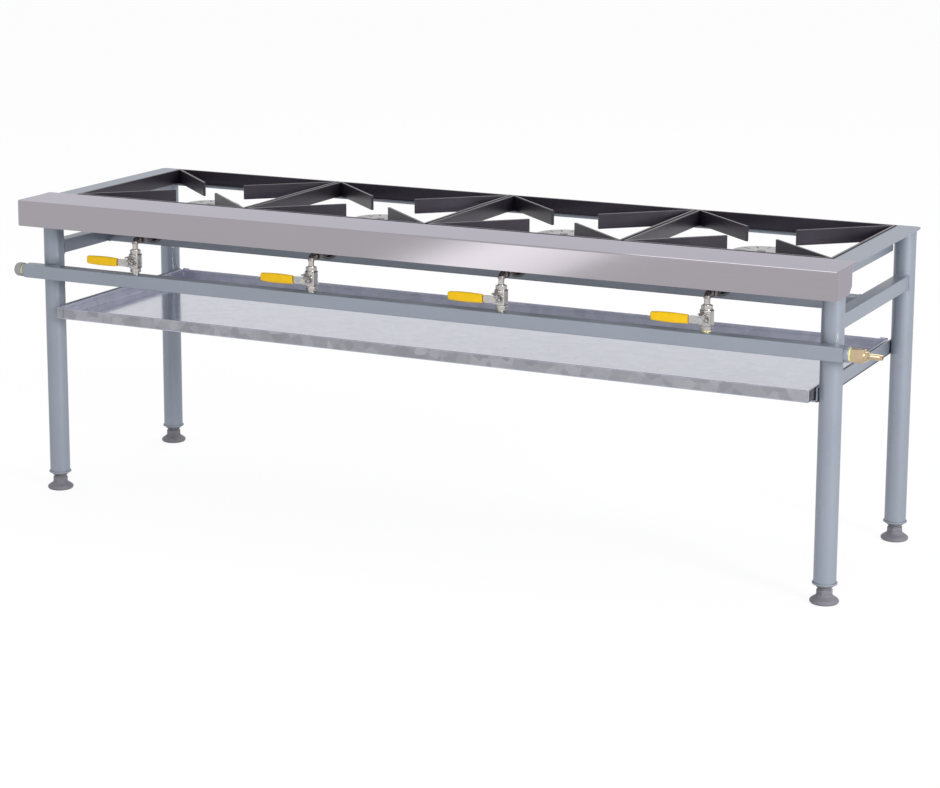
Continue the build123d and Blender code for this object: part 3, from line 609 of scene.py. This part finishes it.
def makeSleeve(number, look):
    low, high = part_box(f"valve_{number}_grip")
    middle = (low + high) / 2
    size = Vector((high.x - low.x, look["thick"], look["height"]))
    bm = bmesh.new()
    place = Matrix.Translation(middle) @ Matrix.Diagonal((*size, 1))
    bmesh.ops.create_cube(bm, size=1.0, matrix=place)
    mouth = max(bm.faces, key=lambda face: face.calc_center_median().x)
    roundOff(bm, [edge for edge in bm.edges if edge not in mouth.edges], look["round"], 6)
    mouth = max(bm.faces, key=lambda face: face.calc_center_median().x)
    bmesh.ops.inset_individual(bm, faces=[mouth], thickness=look["mouthWall"])
    sunk = bmesh.ops.extrude_discrete_faces(bm, faces=[mouth])["faces"]
    bmesh.ops.translate(bm, verts=sunk[0].verts, vec=(-look["mouthDepth"], 0, 0))
    straight = size.x - look["round"] - look["mouthDepth"]
    for cut in range(1, look["cuts"]):
        at = low.x + look["round"] + straight * cut / look["cuts"]
        everything = list(bm.verts) + list(bm.edges) + list(bm.faces)
        bmesh.ops.bisect_plane(bm, geom=everything, plane_co=(at, 0, 0), plane_no=axisOf["X"])
    for vert in bm.verts:
        share = (vert.co.x - low.x) / size.x
        narrow = look["taper"] * (2 * share - look["fullAt"]) ** 2
        swell = 1 - narrow + look["swell"] * math.sin(math.pi * share)
        vert.co.z = middle.z + (vert.co.z - middle.z) * swell
        vert.co.y = middle.y + (vert.co.y - middle.y) * min(swell, 1.0)
    makePiece(bm, f"leverSleeve_{number}", f"lever_{number}", "yellow_grip",
              [f"valve_{number}_grip"], smoothTo=50)


# Pipe work over each valve: plated neck, iron elbow, union and the injector at the burner's mouth
pipeLook = {
    "axisDrop": 0.062,  # from the table's top to the pipes' axis
    "neckRadius": 0.0052,
    "beadRadius": 0.0064,
    "beadTop": 0.0012,
    "beadEnd": 0.0018,
    "neckOverlap": 0.001,
    "bend": 0.007,
    "elbowRadius": 0.0062,
    "bandRadius": 0.0078,
    "bandLength": 0.0038,
    "bandBack": 0.0004,
    "bandEdge": 0.0009,
    "pipeRadius": 0.0048,
    "pipeEdge": 0.0002,
    "unionFlats": 0.0172,
    "unionSpan": (0.0165, 0.0265),
    "unionEdge": 0.0008,
    "injectorFlats": 0.0150,
    "injectorSpan": (0.041, 0.054),
    "injectorEdge": 0.0007,
    "nose": ((0, 0), (0, 0.0046), (0.006, 0.0042)),
    "noseEnd": 0.064,
    "noseTip": 0.0026,
    "jetHole": 0.0008,
    "jetDepth": 0.002,
}


def addNeck(bm, look, foot, height):
    bead, radius = look["beadRadius"], look["neckRadius"]
    top = height + look["neckOverlap"]
    outline = [(0, 0), (0, bead), (look["beadTop"], bead), (look["beadEnd"], radius),
               (top, radius), (top, 0)]
    addTurned(bm, outline, foot)


def addElbow(bm, look, foot, axisZ):
    bend, bandLength = look["bend"], look["bandLength"]
    addBend(bm, look["elbowRadius"], (foot.x, foot.y, axisZ - bend), bend)
    bandY = foot.y + bend + bandLength / 2 - look["bandBack"]
    addPrism(bm, 32, look["bandRadius"], bandLength, (foot.x, bandY, axisZ), "Y",
             look["bandEdge"], 3)
    start, stop = look["unionSpan"]
    union = (foot.x, foot.y + (start + stop) / 2, axisZ)
    addHex(bm, look["unionFlats"], stop - start, union, "Y", look["unionEdge"])
    start, stop = bend + bandLength, look["injectorSpan"][0]
    pipe = (foot.x, foot.y + (start + stop) / 2, axisZ)
    addPrism(bm, 24, look["pipeRadius"], stop - start, pipe, "Y", look["pipeEdge"])


def addInjector(bm, look, foot, axisZ):
    start, stop = look["injectorSpan"]
    middle = (foot.x, foot.y + (start + stop) / 2, axisZ)
    addHex(bm, look["injectorFlats"], stop - start, middle, "Y", look["injectorEdge"])
    tip, hole = look["noseEnd"] - stop, look["jetHole"]
    outline = [*look["nose"], (tip, look["noseTip"]), (tip, hole),
               (tip - look["jetDepth"], hole), (tip - look["jetDepth"], 0)]
    addTurned(bm, outline, Vector((foot.x, foot.y + stop, axisZ)), "Y", 24)


def makePipes(look):
    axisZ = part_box("front_fascia")[1].z - look["axisDrop"]
    necks, elbows, injectors = bmesh.new(), bmesh.new(), bmesh.new()
    for number in burnerNumbers:
        foot = valveAxis(number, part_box(f"valve_{number}_body")[1].z)
        addNeck(necks, look, foot, axisZ - look["bend"] - foot.z)
        addElbow(elbows, look, foot, axisZ)
        addInjector(injectors, look, foot, axisZ)
    makePiece(necks, "riserNecks", "frame", "nickel")
    # The elbows take the aged plate with painted shade and painted reflection spots
    makePiece(elbows, "riserElbows", "frame", "nickel", ["riser_pipes"], smoothTo=40,
              finish=agedShadedElbowPlate)
    # The injectors take the brass darkened as painted shade
    makePiece(injectors, "injectorSet", "frame", "brass", ["injectors"], finish=shadedInjectorBrass)


# Thread paste squeezed out in a lumpy ring at each valve's foot
pasteLook = {
    "radius": 0.0063,
    "thick": (0.0006, 0.0006, 0.0009, 0.0019),  # of the rings under valves 1 to 4
    "sink": 0.9,
    "sides": 8,
    "steps": 36,
    "lump": 0.0005,
    "lumps": ((3, 1, 1.0), (7, 2, 0.6)),  # how many round the ring, their shift and their share
    "lift": 0.3,
}


def makePaste(look):
    bm = bmesh.new()
    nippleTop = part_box("valve_nipples")[1].z
    for number, thick in zip(burnerNumbers, look["thick"]):
        middle = valveAxis(number, nippleTop - thick * look["sink"])
        turns = [math.tau * side / look["sides"] for side in range(look["sides"])]
        ring = [(math.sin(turn) * thick, look["radius"] + math.cos(turn) * thick)
                for turn in turns]
        before = set(bm.verts)
        addTurned(bm, ring, middle, steps=look["steps"], closed=True)
        for vert in set(bm.verts) - before:
            around = math.atan2(vert.co.y - middle.y, vert.co.x - middle.x)
            lump = sum(share * math.sin(around * count + shift * number)
                       for count, shift, share in look["lumps"])
            outward = Vector((math.cos(around), math.sin(around), look["lift"]))
            vert.co += outward * lump * look["lump"]
    makePiece(bm, "threadPaste", "frame", "seal_fibre", smoothTo=60)


for number in burnerNumbers:
    makeValve(number, valveLook)
    makeLever(number, leverLook)
    makeSleeve(number, sleeveLook)
makePipes(pipeLook)
makePaste(pasteLook)
print("valves dressed")


# Gas inlet: a painted socket on the manifold's end and a hexed adaptor with a turned shoulder
inletLook = {
    "socketRadius": 0.0136,
    "socketEdge": 0.0012,
    "adaptorFlats": 0.0225,
    "adaptorEdge": 0.0011,
    "shoulderLength": 0.006,
    "shoulderRadius": 0.0088,
    "shoulderFlare": 0.001,
    "shoulderTaper": 0.0014,
}


def makeInlet(look):
    low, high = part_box("inlet_nipple")
    bm = bmesh.new()
    addPrism(bm, 40, look["socketRadius"], high.x - low.x, (low + high) / 2, "X",
             look["socketEdge"], 3)
    makePiece(bm, "inletSocket", "frame", "frame_paint", ["inlet_nipple"])
    low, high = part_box("inlet_adaptor")
    middle = (low + high) / 2
    length, radius, flare = look["shoulderLength"], look["shoulderRadius"], look["shoulderFlare"]
    shoulderStart = high.x - length
    bm = bmesh.new()
    body = ((low.x + shoulderStart) / 2, middle.y, middle.z)
    addHex(bm, look["adaptorFlats"], shoulderStart - low.x, body, "X", look["adaptorEdge"], 3)
    shoulder = [(0, 0), (0, radius + flare), (flare, radius), (length - flare, radius),
                (length, radius - look["shoulderTaper"]), (length, 0)]
    addTurned(bm, shoulder, Vector((shoulderStart, middle.y, middle.z)), "X")
    makePiece(bm, "brassAdaptor", "frame", "brass", ["inlet_adaptor"])


makeInlet(inletLook)


# Feet: a rounded bell under a hexed neck, a threaded stud above it and a thin ring on the leg's end
footLook = {
    "bell": ((0, 0), (0, 0.0205), (0.0008, 0.0228), (0.0026, 0.0243), (0.0046, 0.0247),
             (0.0066, 0.0238), (0.0088, 0.0212), (0.0108, 0.0178), (0.0128, 0.0153),
             (0.0148, 0.0138), (0.0162, 0.0132), (0.0162, 0)),  # height and radius
    "neckFlats": 0.0244,
    "neckSpan": (0.014, 0.0245),
    "neckEdge": 0.0012,
    "crownRadius": 0.0118,
    "crownTop": 0.0270,
    "crownEdge": 0.0005,
    "studRadius": 0.0049,
    "studSink": 0.001,
    "studChamfer": 0.001,
    "threadPitch": 0.0016,
    "threadDepth": 0.0006,
    "studGap": 0.0003,
    "ringRadius": 0.0212,
    "ringThick": 0.0032,
    "ringChamfer": 0.0006,
    "bossRadius": 0.0150,
    "bossChamfer": 0.001,
}
corners = ("front_left", "front_right", "back_left", "back_right")


def makeFoot(corner, look):
    low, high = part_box(f"{corner}_foot")
    base = Vector(((low.x + high.x) / 2, (low.y + high.y) / 2, low.z))
    start, stop = look["neckSpan"]
    crownHeight = look["crownTop"] - stop
    bm = bmesh.new()
    addTurned(bm, look["bell"], base, steps=48)
    addHex(bm, look["neckFlats"], stop - start, base + axisOf["Z"] * (start + stop) / 2, "Z",
           look["neckEdge"], 3)
    addPrism(bm, 40, look["crownRadius"], crownHeight,
             base + axisOf["Z"] * (stop + crownHeight / 2), "Z", look["crownEdge"])
    body = f"{corner}_foot_body"
    makePiece(bm, f"footBell_{corner}", body, "foot_plastic", [f"{corner}_foot"])
    radius, pitch, top = look["studRadius"], look["threadPitch"], high.z - low.z
    at = look["crownTop"]
    outline = [(at - look["studSink"], 0), (at - look["studSink"], radius)]
    while at < top - pitch:
        outline += [(at, radius), (at + pitch / 2, radius - look["threadDepth"])]
        at += pitch
    outline += [(top, radius - look["studChamfer"]), (top, 0)]
    bm = bmesh.new()
    addTurned(bm, outline, base, steps=24)
    makePiece(bm, f"footStud_{corner}", body, "zinc_steel", smoothTo=20)


def makeLegRings(look):
    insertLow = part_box("leg_inserts")[0].z
    hole = look["studRadius"] + look["studGap"]
    thick, radius, chamfer = look["ringThick"], look["ringRadius"], look["ringChamfer"]
    bossRadius, bossChamfer = look["bossRadius"], look["bossChamfer"]
    rings, bosses = bmesh.new(), bmesh.new()
    for corner in corners:
        low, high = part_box(f"{corner}_leg")
        under = Vector(((low.x + high.x) / 2, (low.y + high.y) / 2, low.z - thick))
        ring = [(0, hole), (0, radius - chamfer), (chamfer, radius), (thick - chamfer, radius),
                (thick, radius - chamfer), (thick, hole)]
        addTurned(rings, ring, under, steps=48, closed=True)
        drop = low.z - thick - insertLow
        boss = [(-drop, hole), (-drop, bossRadius - bossChamfer),
                (bossChamfer - drop, bossRadius), (0, bossRadius), (0, hole)]
        addTurned(bosses, boss, under, steps=40, closed=True)
    makePiece(rings, "legRings", "frame", "frame_paint")
    makePiece(bosses, "insertBosses", "frame", "foot_plastic", ["leg_inserts"])


for corner in corners:
    makeFoot(corner, footLook)
makeLegRings(footLook)
print("feet and inlet dressed")


# Pan supports: the CAD bars merged, with their sheared edges broken
barLook = {"edge": 0.0007, "joinWithin": 1e-5, "flatWithin": 1.0}


def makeBars(number, look):
    name = f"pan_support_{number}"
    bm = bmesh.new()
    bm.from_mesh(nodes[name].data)
    bmesh.ops.remove_doubles(bm, verts=bm.verts, dist=look["joinWithin"])
    bmesh.ops.dissolve_limit(bm, angle_limit=math.radians(look["flatWithin"]),
                             verts=bm.verts, edges=bm.edges)
    softenEdges(bm, list(bm.verts), look["edge"])
    makePiece(bm, f"panBars_{number}", f"support_{number}", "black_enamel", [name], smoothTo=40)


for number in burnerNumbers:
    makeBars(number, barLook)
print("pan supports dressed")


# Undershelf: a folded tray with closed hems and a tab at each corner
trayLook = {
    "sheet": 0.0012,
    "fold": 0.0022,
    "hemStart": 0.4,  # as a share of the sheet, so the hem stays behind its face
    "hemDepth": 0.007,
    "hemThick": 0.0024,
    "hemInset": 0.004,
    "hemRise": 0.0005,
    "hemEdge": 0.001,
    "tabWidth": 0.014,
    "tabThick": 0.001,
    "tabInset": 0.001,
    "tabSink": 0.0002,
    "tabLift": 0.0015,
    "tabTop": (-0.0005, 0.002),  # from the lip's top, at the front and at the back
    "tabEdge": 0.0004,
}


def makeTray(look):
    low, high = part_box("undershelf")
    middle, size = (low + high) / 2, high - low
    bm = bmesh.new()
    spread = Matrix.Diagonal((size.x, size.y, 1, 1))
    place = Matrix.Translation((middle.x, middle.y, low.z)) @ spread
    bmesh.ops.create_grid(bm, x_segments=1, y_segments=1, size=0.5, matrix=place)
    lips = bmesh.ops.extrude_edge_only(bm, edges=list(bm.edges))["geom"]
    bmesh.ops.translate(bm, verts=vertsIn(lips), vec=(0, 0, size.z))
    bmesh.ops.recalc_face_normals(bm, faces=bm.faces)
    roundOff(bm, [edge for edge in bm.edges if not edge.is_boundary], look["fold"], 4)
    floorFace = max(bm.faces, key=lambda face: face.calc_area())
    if floorFace.normal.z > 0:
        bmesh.ops.reverse_faces(bm, faces=bm.faces)
    bmesh.ops.solidify(bm, geom=bm.faces, thickness=look["sheet"])
    inset, start, stop = look["hemInset"], look["sheet"] * look["hemStart"], look["hemThick"]
    bottom, top, edge = high.z - look["hemDepth"], high.z + look["hemRise"], look["hemEdge"]
    for y0, y1 in ((low.y + start, low.y + stop), (high.y - stop, high.y - start)):
        addBlock(bm, (low.x + inset, y0, bottom), (high.x - inset, y1, top), edge, 3)
    for x0, x1 in ((low.x + start, low.x + stop), (high.x - stop, high.x - start)):
        addBlock(bm, (x0, low.y + inset, bottom), (x1, high.y - inset, top), edge, 3)
    thick, width, sink = look["tabThick"], look["tabWidth"], look["tabSink"]
    frontTop, backTop = (high.z + rise for rise in look["tabTop"])
    bottom, edge = low.z + look["tabLift"], look["tabEdge"]
    for x in (low.x + look["tabInset"], high.x - look["tabInset"] - width):
        addBlock(bm, (x, low.y - thick, bottom), (x + width, low.y + sink, frontTop), edge)
        addBlock(bm, (x, high.y - sink, bottom), (x + width, high.y + thick, backTop), edge)
    makePiece(bm, "shelfTray", "shelf", "galvanised", ["undershelf"])


makeTray(trayLook)


# Runners: rolled angles that start beside the front legs
runnerLook = {"thick": 0.003, "width": 0.025, "startAhead": 0.0095, "edge": 0.0007}


def makeRunners(look):
    low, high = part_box("shelf_runners")
    startY = middleOf("front_left_leg").y - look["startAhead"]
    bm = bmesh.new()
    for outer, inward in ((low.x, 1), (high.x, -1)):
        for reach, top in ((look["thick"], high.z), (look["width"], low.z + look["thick"])):
            x0, x1 = sorted((outer, outer + inward * reach))
            addBlock(bm, (x0, startY, low.z), (x1, high.y, top), look["edge"])
    makePiece(bm, "runnerAngles", "frame", "frame_paint", ["shelf_runners"])


makeRunners(runnerLook)
print("shelf dressed")


# Fascia: one sheet folded over the front, with its left end a little past the side angle
fasciaLook = {
    "sheet": 0.0015,
    "leftReach": 0.013,
    "returnDepth": 0.078,
    "clip": (0.015, 0.012),  # the cut corner's depth and height
    "foldLeft": 0.012,
    "foldRight": 0.0032,
    "foldTop": 0.0026,
    "levelWithin": 1e-5,
}


def endFaces(bm):
    return [face for face in bm.faces if abs(face.normal.x) > 0.5]


def trimReturns(bm, point, normal):
    ends = endFaces(bm)
    borders = dict.fromkeys(part for face in ends for part in (*face.edges, *face.verts))
    bmesh.ops.bisect_plane(bm, geom=[*ends, *borders], plane_co=point, plane_no=normal)
    beyond = [face for face in endFaces(bm)
              if (face.calc_center_median() - Vector(point)).dot(Vector(normal)) > 0]
    bmesh.ops.delete(bm, geom=beyond, context="FACES")


def makeFascia(look):
    low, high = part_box("front_fascia")
    low.x -= look["leftReach"]
    middle, size = (low + high) / 2, high - low
    bm = bmesh.new()
    place = Matrix.Translation(middle) @ Matrix.Diagonal((*size, 1))
    bmesh.ops.create_cube(bm, size=1.0, matrix=place)
    inside = [face for face in bm.faces if face.normal.z < -0.5 or face.normal.y > 0.5]
    bmesh.ops.delete(bm, geom=inside, context="FACES_ONLY")
    returnY = low.y + look["returnDepth"]
    clipY, clipZ = look["clip"]
    trimReturns(bm, (0, returnY, 0), (0, 1, 0))
    trimReturns(bm, (0, returnY - clipY, low.z), (0, clipZ, -clipY))
    upright = [edge for edge in bm.edges if not edge.is_boundary
               and abs(edge.verts[0].co.z - edge.verts[1].co.z) > 0.5 * size.z]
    for fold, isLeft in ((look["foldLeft"], True), (look["foldRight"], False)):
        chosen = [edge for edge in upright
                  if edge.is_valid and (edge.verts[0].co.x < middle.x) == isLeft]
        roundOff(bm, chosen, fold, 6)
    topFolds = [edge for edge in bm.edges if not edge.is_boundary
                and all(abs(vert.co.z - high.z) < look["levelWithin"] for vert in edge.verts)
                and edge.calc_face_angle(0) > 1.0]
    roundOff(bm, topFolds, look["foldTop"], 4)
    flange = max(bm.faces, key=lambda face: face.calc_area() if face.normal.z > 0.9 else 0)
    bmesh.ops.recalc_face_normals(bm, faces=bm.faces)
    if flange.normal.z < 0:
        bmesh.ops.reverse_faces(bm, faces=bm.faces)
    bmesh.ops.solidify(bm, geom=bm.faces, thickness=look["sheet"])
    makePiece(bm, "fasciaSheet", "frame", "stainless", ["front_fascia"], smoothTo=20)


makeFascia(fasciaLook)
print("fascia dressed")


# Weld beads where the rails, the bar and the side angles meet the legs
weldLook = {
    "radius": 0.0021,
    "spacing": 0.0026,
    "flat": 0.8,
    "unevenness": 0.18,
    "unevenRate": 2.3,
    "unevenShift": 900,  # the sizes shift with the place, so no two welds match
    "cornerGap": 0.002,
}


def beadAt(bm, place, look, wobble):
    size = look["radius"] * (1 + look["unevenness"] * math.sin(wobble * look["unevenRate"]))
    spot = Matrix.Translation(place) @ Matrix.Diagonal((1, 1, look["flat"], 1))
    bmesh.ops.create_icosphere(bm, subdivisions=1, radius=size, matrix=spot)


def beadLine(bm, start, stop, look):
    start, stop = Vector(start), Vector(stop)
    count = max(2, round((stop - start).length / look["spacing"]))
    for step in range(count + 1):
        wobble = step + start.x * look["unevenShift"]
        beadAt(bm, start.lerp(stop, step / count), look, wobble)


def beadArc(bm, centre, radius, fromAngle, toAngle, look):
    count = max(2, round(radius * abs(toAngle - fromAngle) / look["spacing"]))
    for step in range(count + 1):
        turn = fromAngle + (toAngle - fromAngle) * step / count
        outward = Vector((math.cos(turn), math.sin(turn), 0))
        wobble = step + centre[1] * look["unevenShift"]
        beadAt(bm, Vector(centre) + outward * radius, look, wobble)


def makeWelds(look):
    bm = bmesh.new()
    gap = look["cornerGap"]
    for side in ("left", "right"):
        railLow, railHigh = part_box(f"{side}_side_rail")
        halfRail = (railHigh.x - railLow.x) / 2
        for end, inward in (("front", 1), ("back", -1)):
            legLow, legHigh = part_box(f"{end}_{side}_leg")
            centre, radius = (legLow + legHigh) / 2, (legHigh.x - legLow.x) / 2
            spread = math.asin(halfRail / radius)
            facing = math.pi / 2 * inward
            for level in (railLow.z, railHigh.z):
                around = (centre.x, centre.y, level)
                beadArc(bm, around, radius, facing - spread, facing + spread, look)
            meetY = centre.y + inward * math.sqrt(radius ** 2 - halfRail ** 2)
            for x in (railLow.x, railHigh.x):
                beadLine(bm, (x, meetY, railLow.z + gap), (x, meetY, railHigh.z - gap), look)
            beadArc(bm, (centre.x, centre.y, legHigh.z), radius, 0, math.tau, look)
    barLow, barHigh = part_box("burner_bar")
    for x in (barLow.x, barHigh.x):
        for y in (barLow.y, barHigh.y):
            beadLine(bm, (x, y, barLow.z + gap), (x, y, barHigh.z - gap), look)
        for z in (barLow.z, barHigh.z):
            beadLine(bm, (x, barLow.y + gap, z), (x, barHigh.y - gap, z), look)
    makePiece(bm, "weldBeads", "frame", "frame_paint", smoothTo=60)


makeWelds(weldLook)
print("welds laid")


# Camera at the photograph's place, sizes in metres, picture 940 by 788
cameraPlace = {
    "at": (1.9504, -4.0051, 1.3089),
    "azimuth": 27.439,
    "elevation": 10.893,
    "roll": 0.07,
    "focalPixels": 2483.6,
    "axisPixel": (402.3, 277.8),  # where the lens axis meets the picture
    "frame": (940, 788),
    "sensor": 36.0,
    "clip": (0.05, 60),
}


def placeCamera(place):
    wide, high = place["frame"]
    data = bpy.data.cameras.new("photoCamera")
    data.sensor_fit = "HORIZONTAL"
    data.sensor_width = place["sensor"]
    data.lens = place["focalPixels"] * place["sensor"] / wide
    data.shift_x = (wide / 2 - place["axisPixel"][0]) / wide
    data.shift_y = (place["axisPixel"][1] - high / 2) / wide
    data.clip_start, data.clip_end = place["clip"]
    camera = bpy.data.objects.new("photoCamera", data)
    bpy.context.scene.collection.objects.link(camera)
    turn = Matrix.Rotation(math.radians(place["azimuth"]), 4, "Z")
    tilt = Matrix.Rotation(math.radians(90 - place["elevation"]), 4, "X")
    roll = Matrix.Rotation(math.radians(-place["roll"]), 4, "Z")
    camera.matrix_world = Matrix.Translation(place["at"]) @ turn @ tilt @ roll
    bpy.context.scene.camera = camera


placeCamera(cameraPlace)


# Studio: white all round, a pale floor that keeps a soft shadow, and soft lamps
studio = {
    "surround": 0.82,
    "floorSize": 40.0,
    "floorWhite": 0.93,
    "floorLift": 0.91,  # share of plain white in the floor that the camera sees
    "floorMirror": 1.0,  # the floor's brightness in polished metal
    # The bright patch glows in the floor only in glossy rays, a painted reflection in polished
    # metal
    "brightPatch": (-1.42, -0.81),  # left and right end
    "patchFrom": -2.5,  # the edge nearest to the table
    "patchGain": 1.4,
    "patchFade": 0.5,
}
white = (1, 1, 1)


def rayIs(tree, kind):
    return addNode(tree, "ShaderNodeLightPath", {}, {}, f"Is {kind} Ray")


def setOutput(tree, kind, surface):
    tree.links.new(surface.out, tree.nodes.new(kind).inputs["Surface"])


def setWorld(look):
    world = bpy.data.worlds.new("studio")
    bpy.context.scene.world = world
    world.use_nodes = True
    tree = world.node_tree
    tree.nodes.clear()
    shown = rayIs(tree, "Camera") + rayIs(tree, "Glossy") + rayIs(tree, "Transmission")
    strength = look["surround"] + (1.0 - look["surround"]) * shown.clamp()
    inputs = {"Color": white, "Strength": strength}
    back = addNode(tree, "ShaderNodeBackground", {}, inputs)
    setOutput(tree, "ShaderNodeOutputWorld", back)


# Polished metal shows a brighter patch of floor in front, with one crisp edge. The patch glows only
# in glossy rays: a painted reflection that puts a highlight into polished metal.
def floorInMetal(tree, look):
    where = addNode(tree, "ShaderNodeTexCoord", {}, {}, "Object")
    across, away = along(tree, where, "X"), along(tree, where, "Y")
    start, stop = look["brightPatch"]
    peak = (start + stop) / 2
    rise = ramp(tree, across, start, peak, "SMOOTHSTEP")
    fall = ramp(tree, across, peak, stop)
    patch = rise * (1 - fall * look["patchFade"])
    patch = patch * across.below(stop) * away.below(look["patchFrom"])
    inputs = {"Color": white, "Strength": look["floorMirror"] + patch * look["patchGain"]}
    return addNode(tree, "ShaderNodeEmission", {}, inputs)


def layFloor(look):
    bm = bmesh.new()
    bmesh.ops.create_grid(bm, x_segments=1, y_segments=1, size=look["floorSize"] / 2)
    mesh = bpy.data.meshes.new("studioFloor")
    bm.to_mesh(mesh)
    bm.free()
    floor = bpy.data.objects.new("studioFloor", mesh)
    bpy.context.scene.collection.objects.link(floor)
    mat = bpy.data.materials.new("paleFloor")
    mat.use_nodes = True
    tree = mat.node_tree
    tree.nodes.clear()
    matt = addNode(tree, "ShaderNodeBsdfDiffuse", {}, {"Color": [look["floorWhite"]] * 3})
    lit = addNode(tree, "ShaderNodeEmission", {}, {"Color": white, "Strength": 1.0})
    lift = rayIs(tree, "Camera") * look["floorLift"]
    seen = addNode(tree, "ShaderNodeMixShader", {}, {0: lift, 1: matt, 2: lit})
    shares = {0: rayIs(tree, "Glossy"), 1: seen, 2: floorInMetal(tree, look)}
    setOutput(tree, "ShaderNodeOutputMaterial", addNode(tree, "ShaderNodeMixShader", {}, shares))
    mesh.materials.append(mat)


lamps = {
    "frontLamp": {"at": (2.0, -4.4, 3.0), "aim": (0.3, 0, 0.4), "size": 2.4, "power": 58.0},
    "sideLamp": {"at": (4.4, -2.0, 1.7), "aim": (0, 0, 0.3), "size": 1.2, "power": 150.0},
    "topLamp": {"at": (0.0, 1.4, 4.2), "aim": (0, 0, 0.4), "size": 3.0, "power": 45.0},
}


def hangLamp(name, look):
    data = bpy.data.lights.new(name, "AREA")
    data.shape = "DISK"
    data.size = look["size"]
    data.energy = look["power"]
    lamp = bpy.data.objects.new(name, data)
    bpy.context.scene.collection.objects.link(lamp)
    lamp.location = look["at"]
    aim = Vector(look["aim"]) - Vector(look["at"])
    lamp.rotation_euler = aim.to_track_quat("-Z", "Y").to_euler()


setWorld(studio)
layFloor(studio)
for name, look in lamps.items():
    hangLamp(name, look)
bpy.context.scene.view_settings.view_transform = "Standard"
print("studio ready")
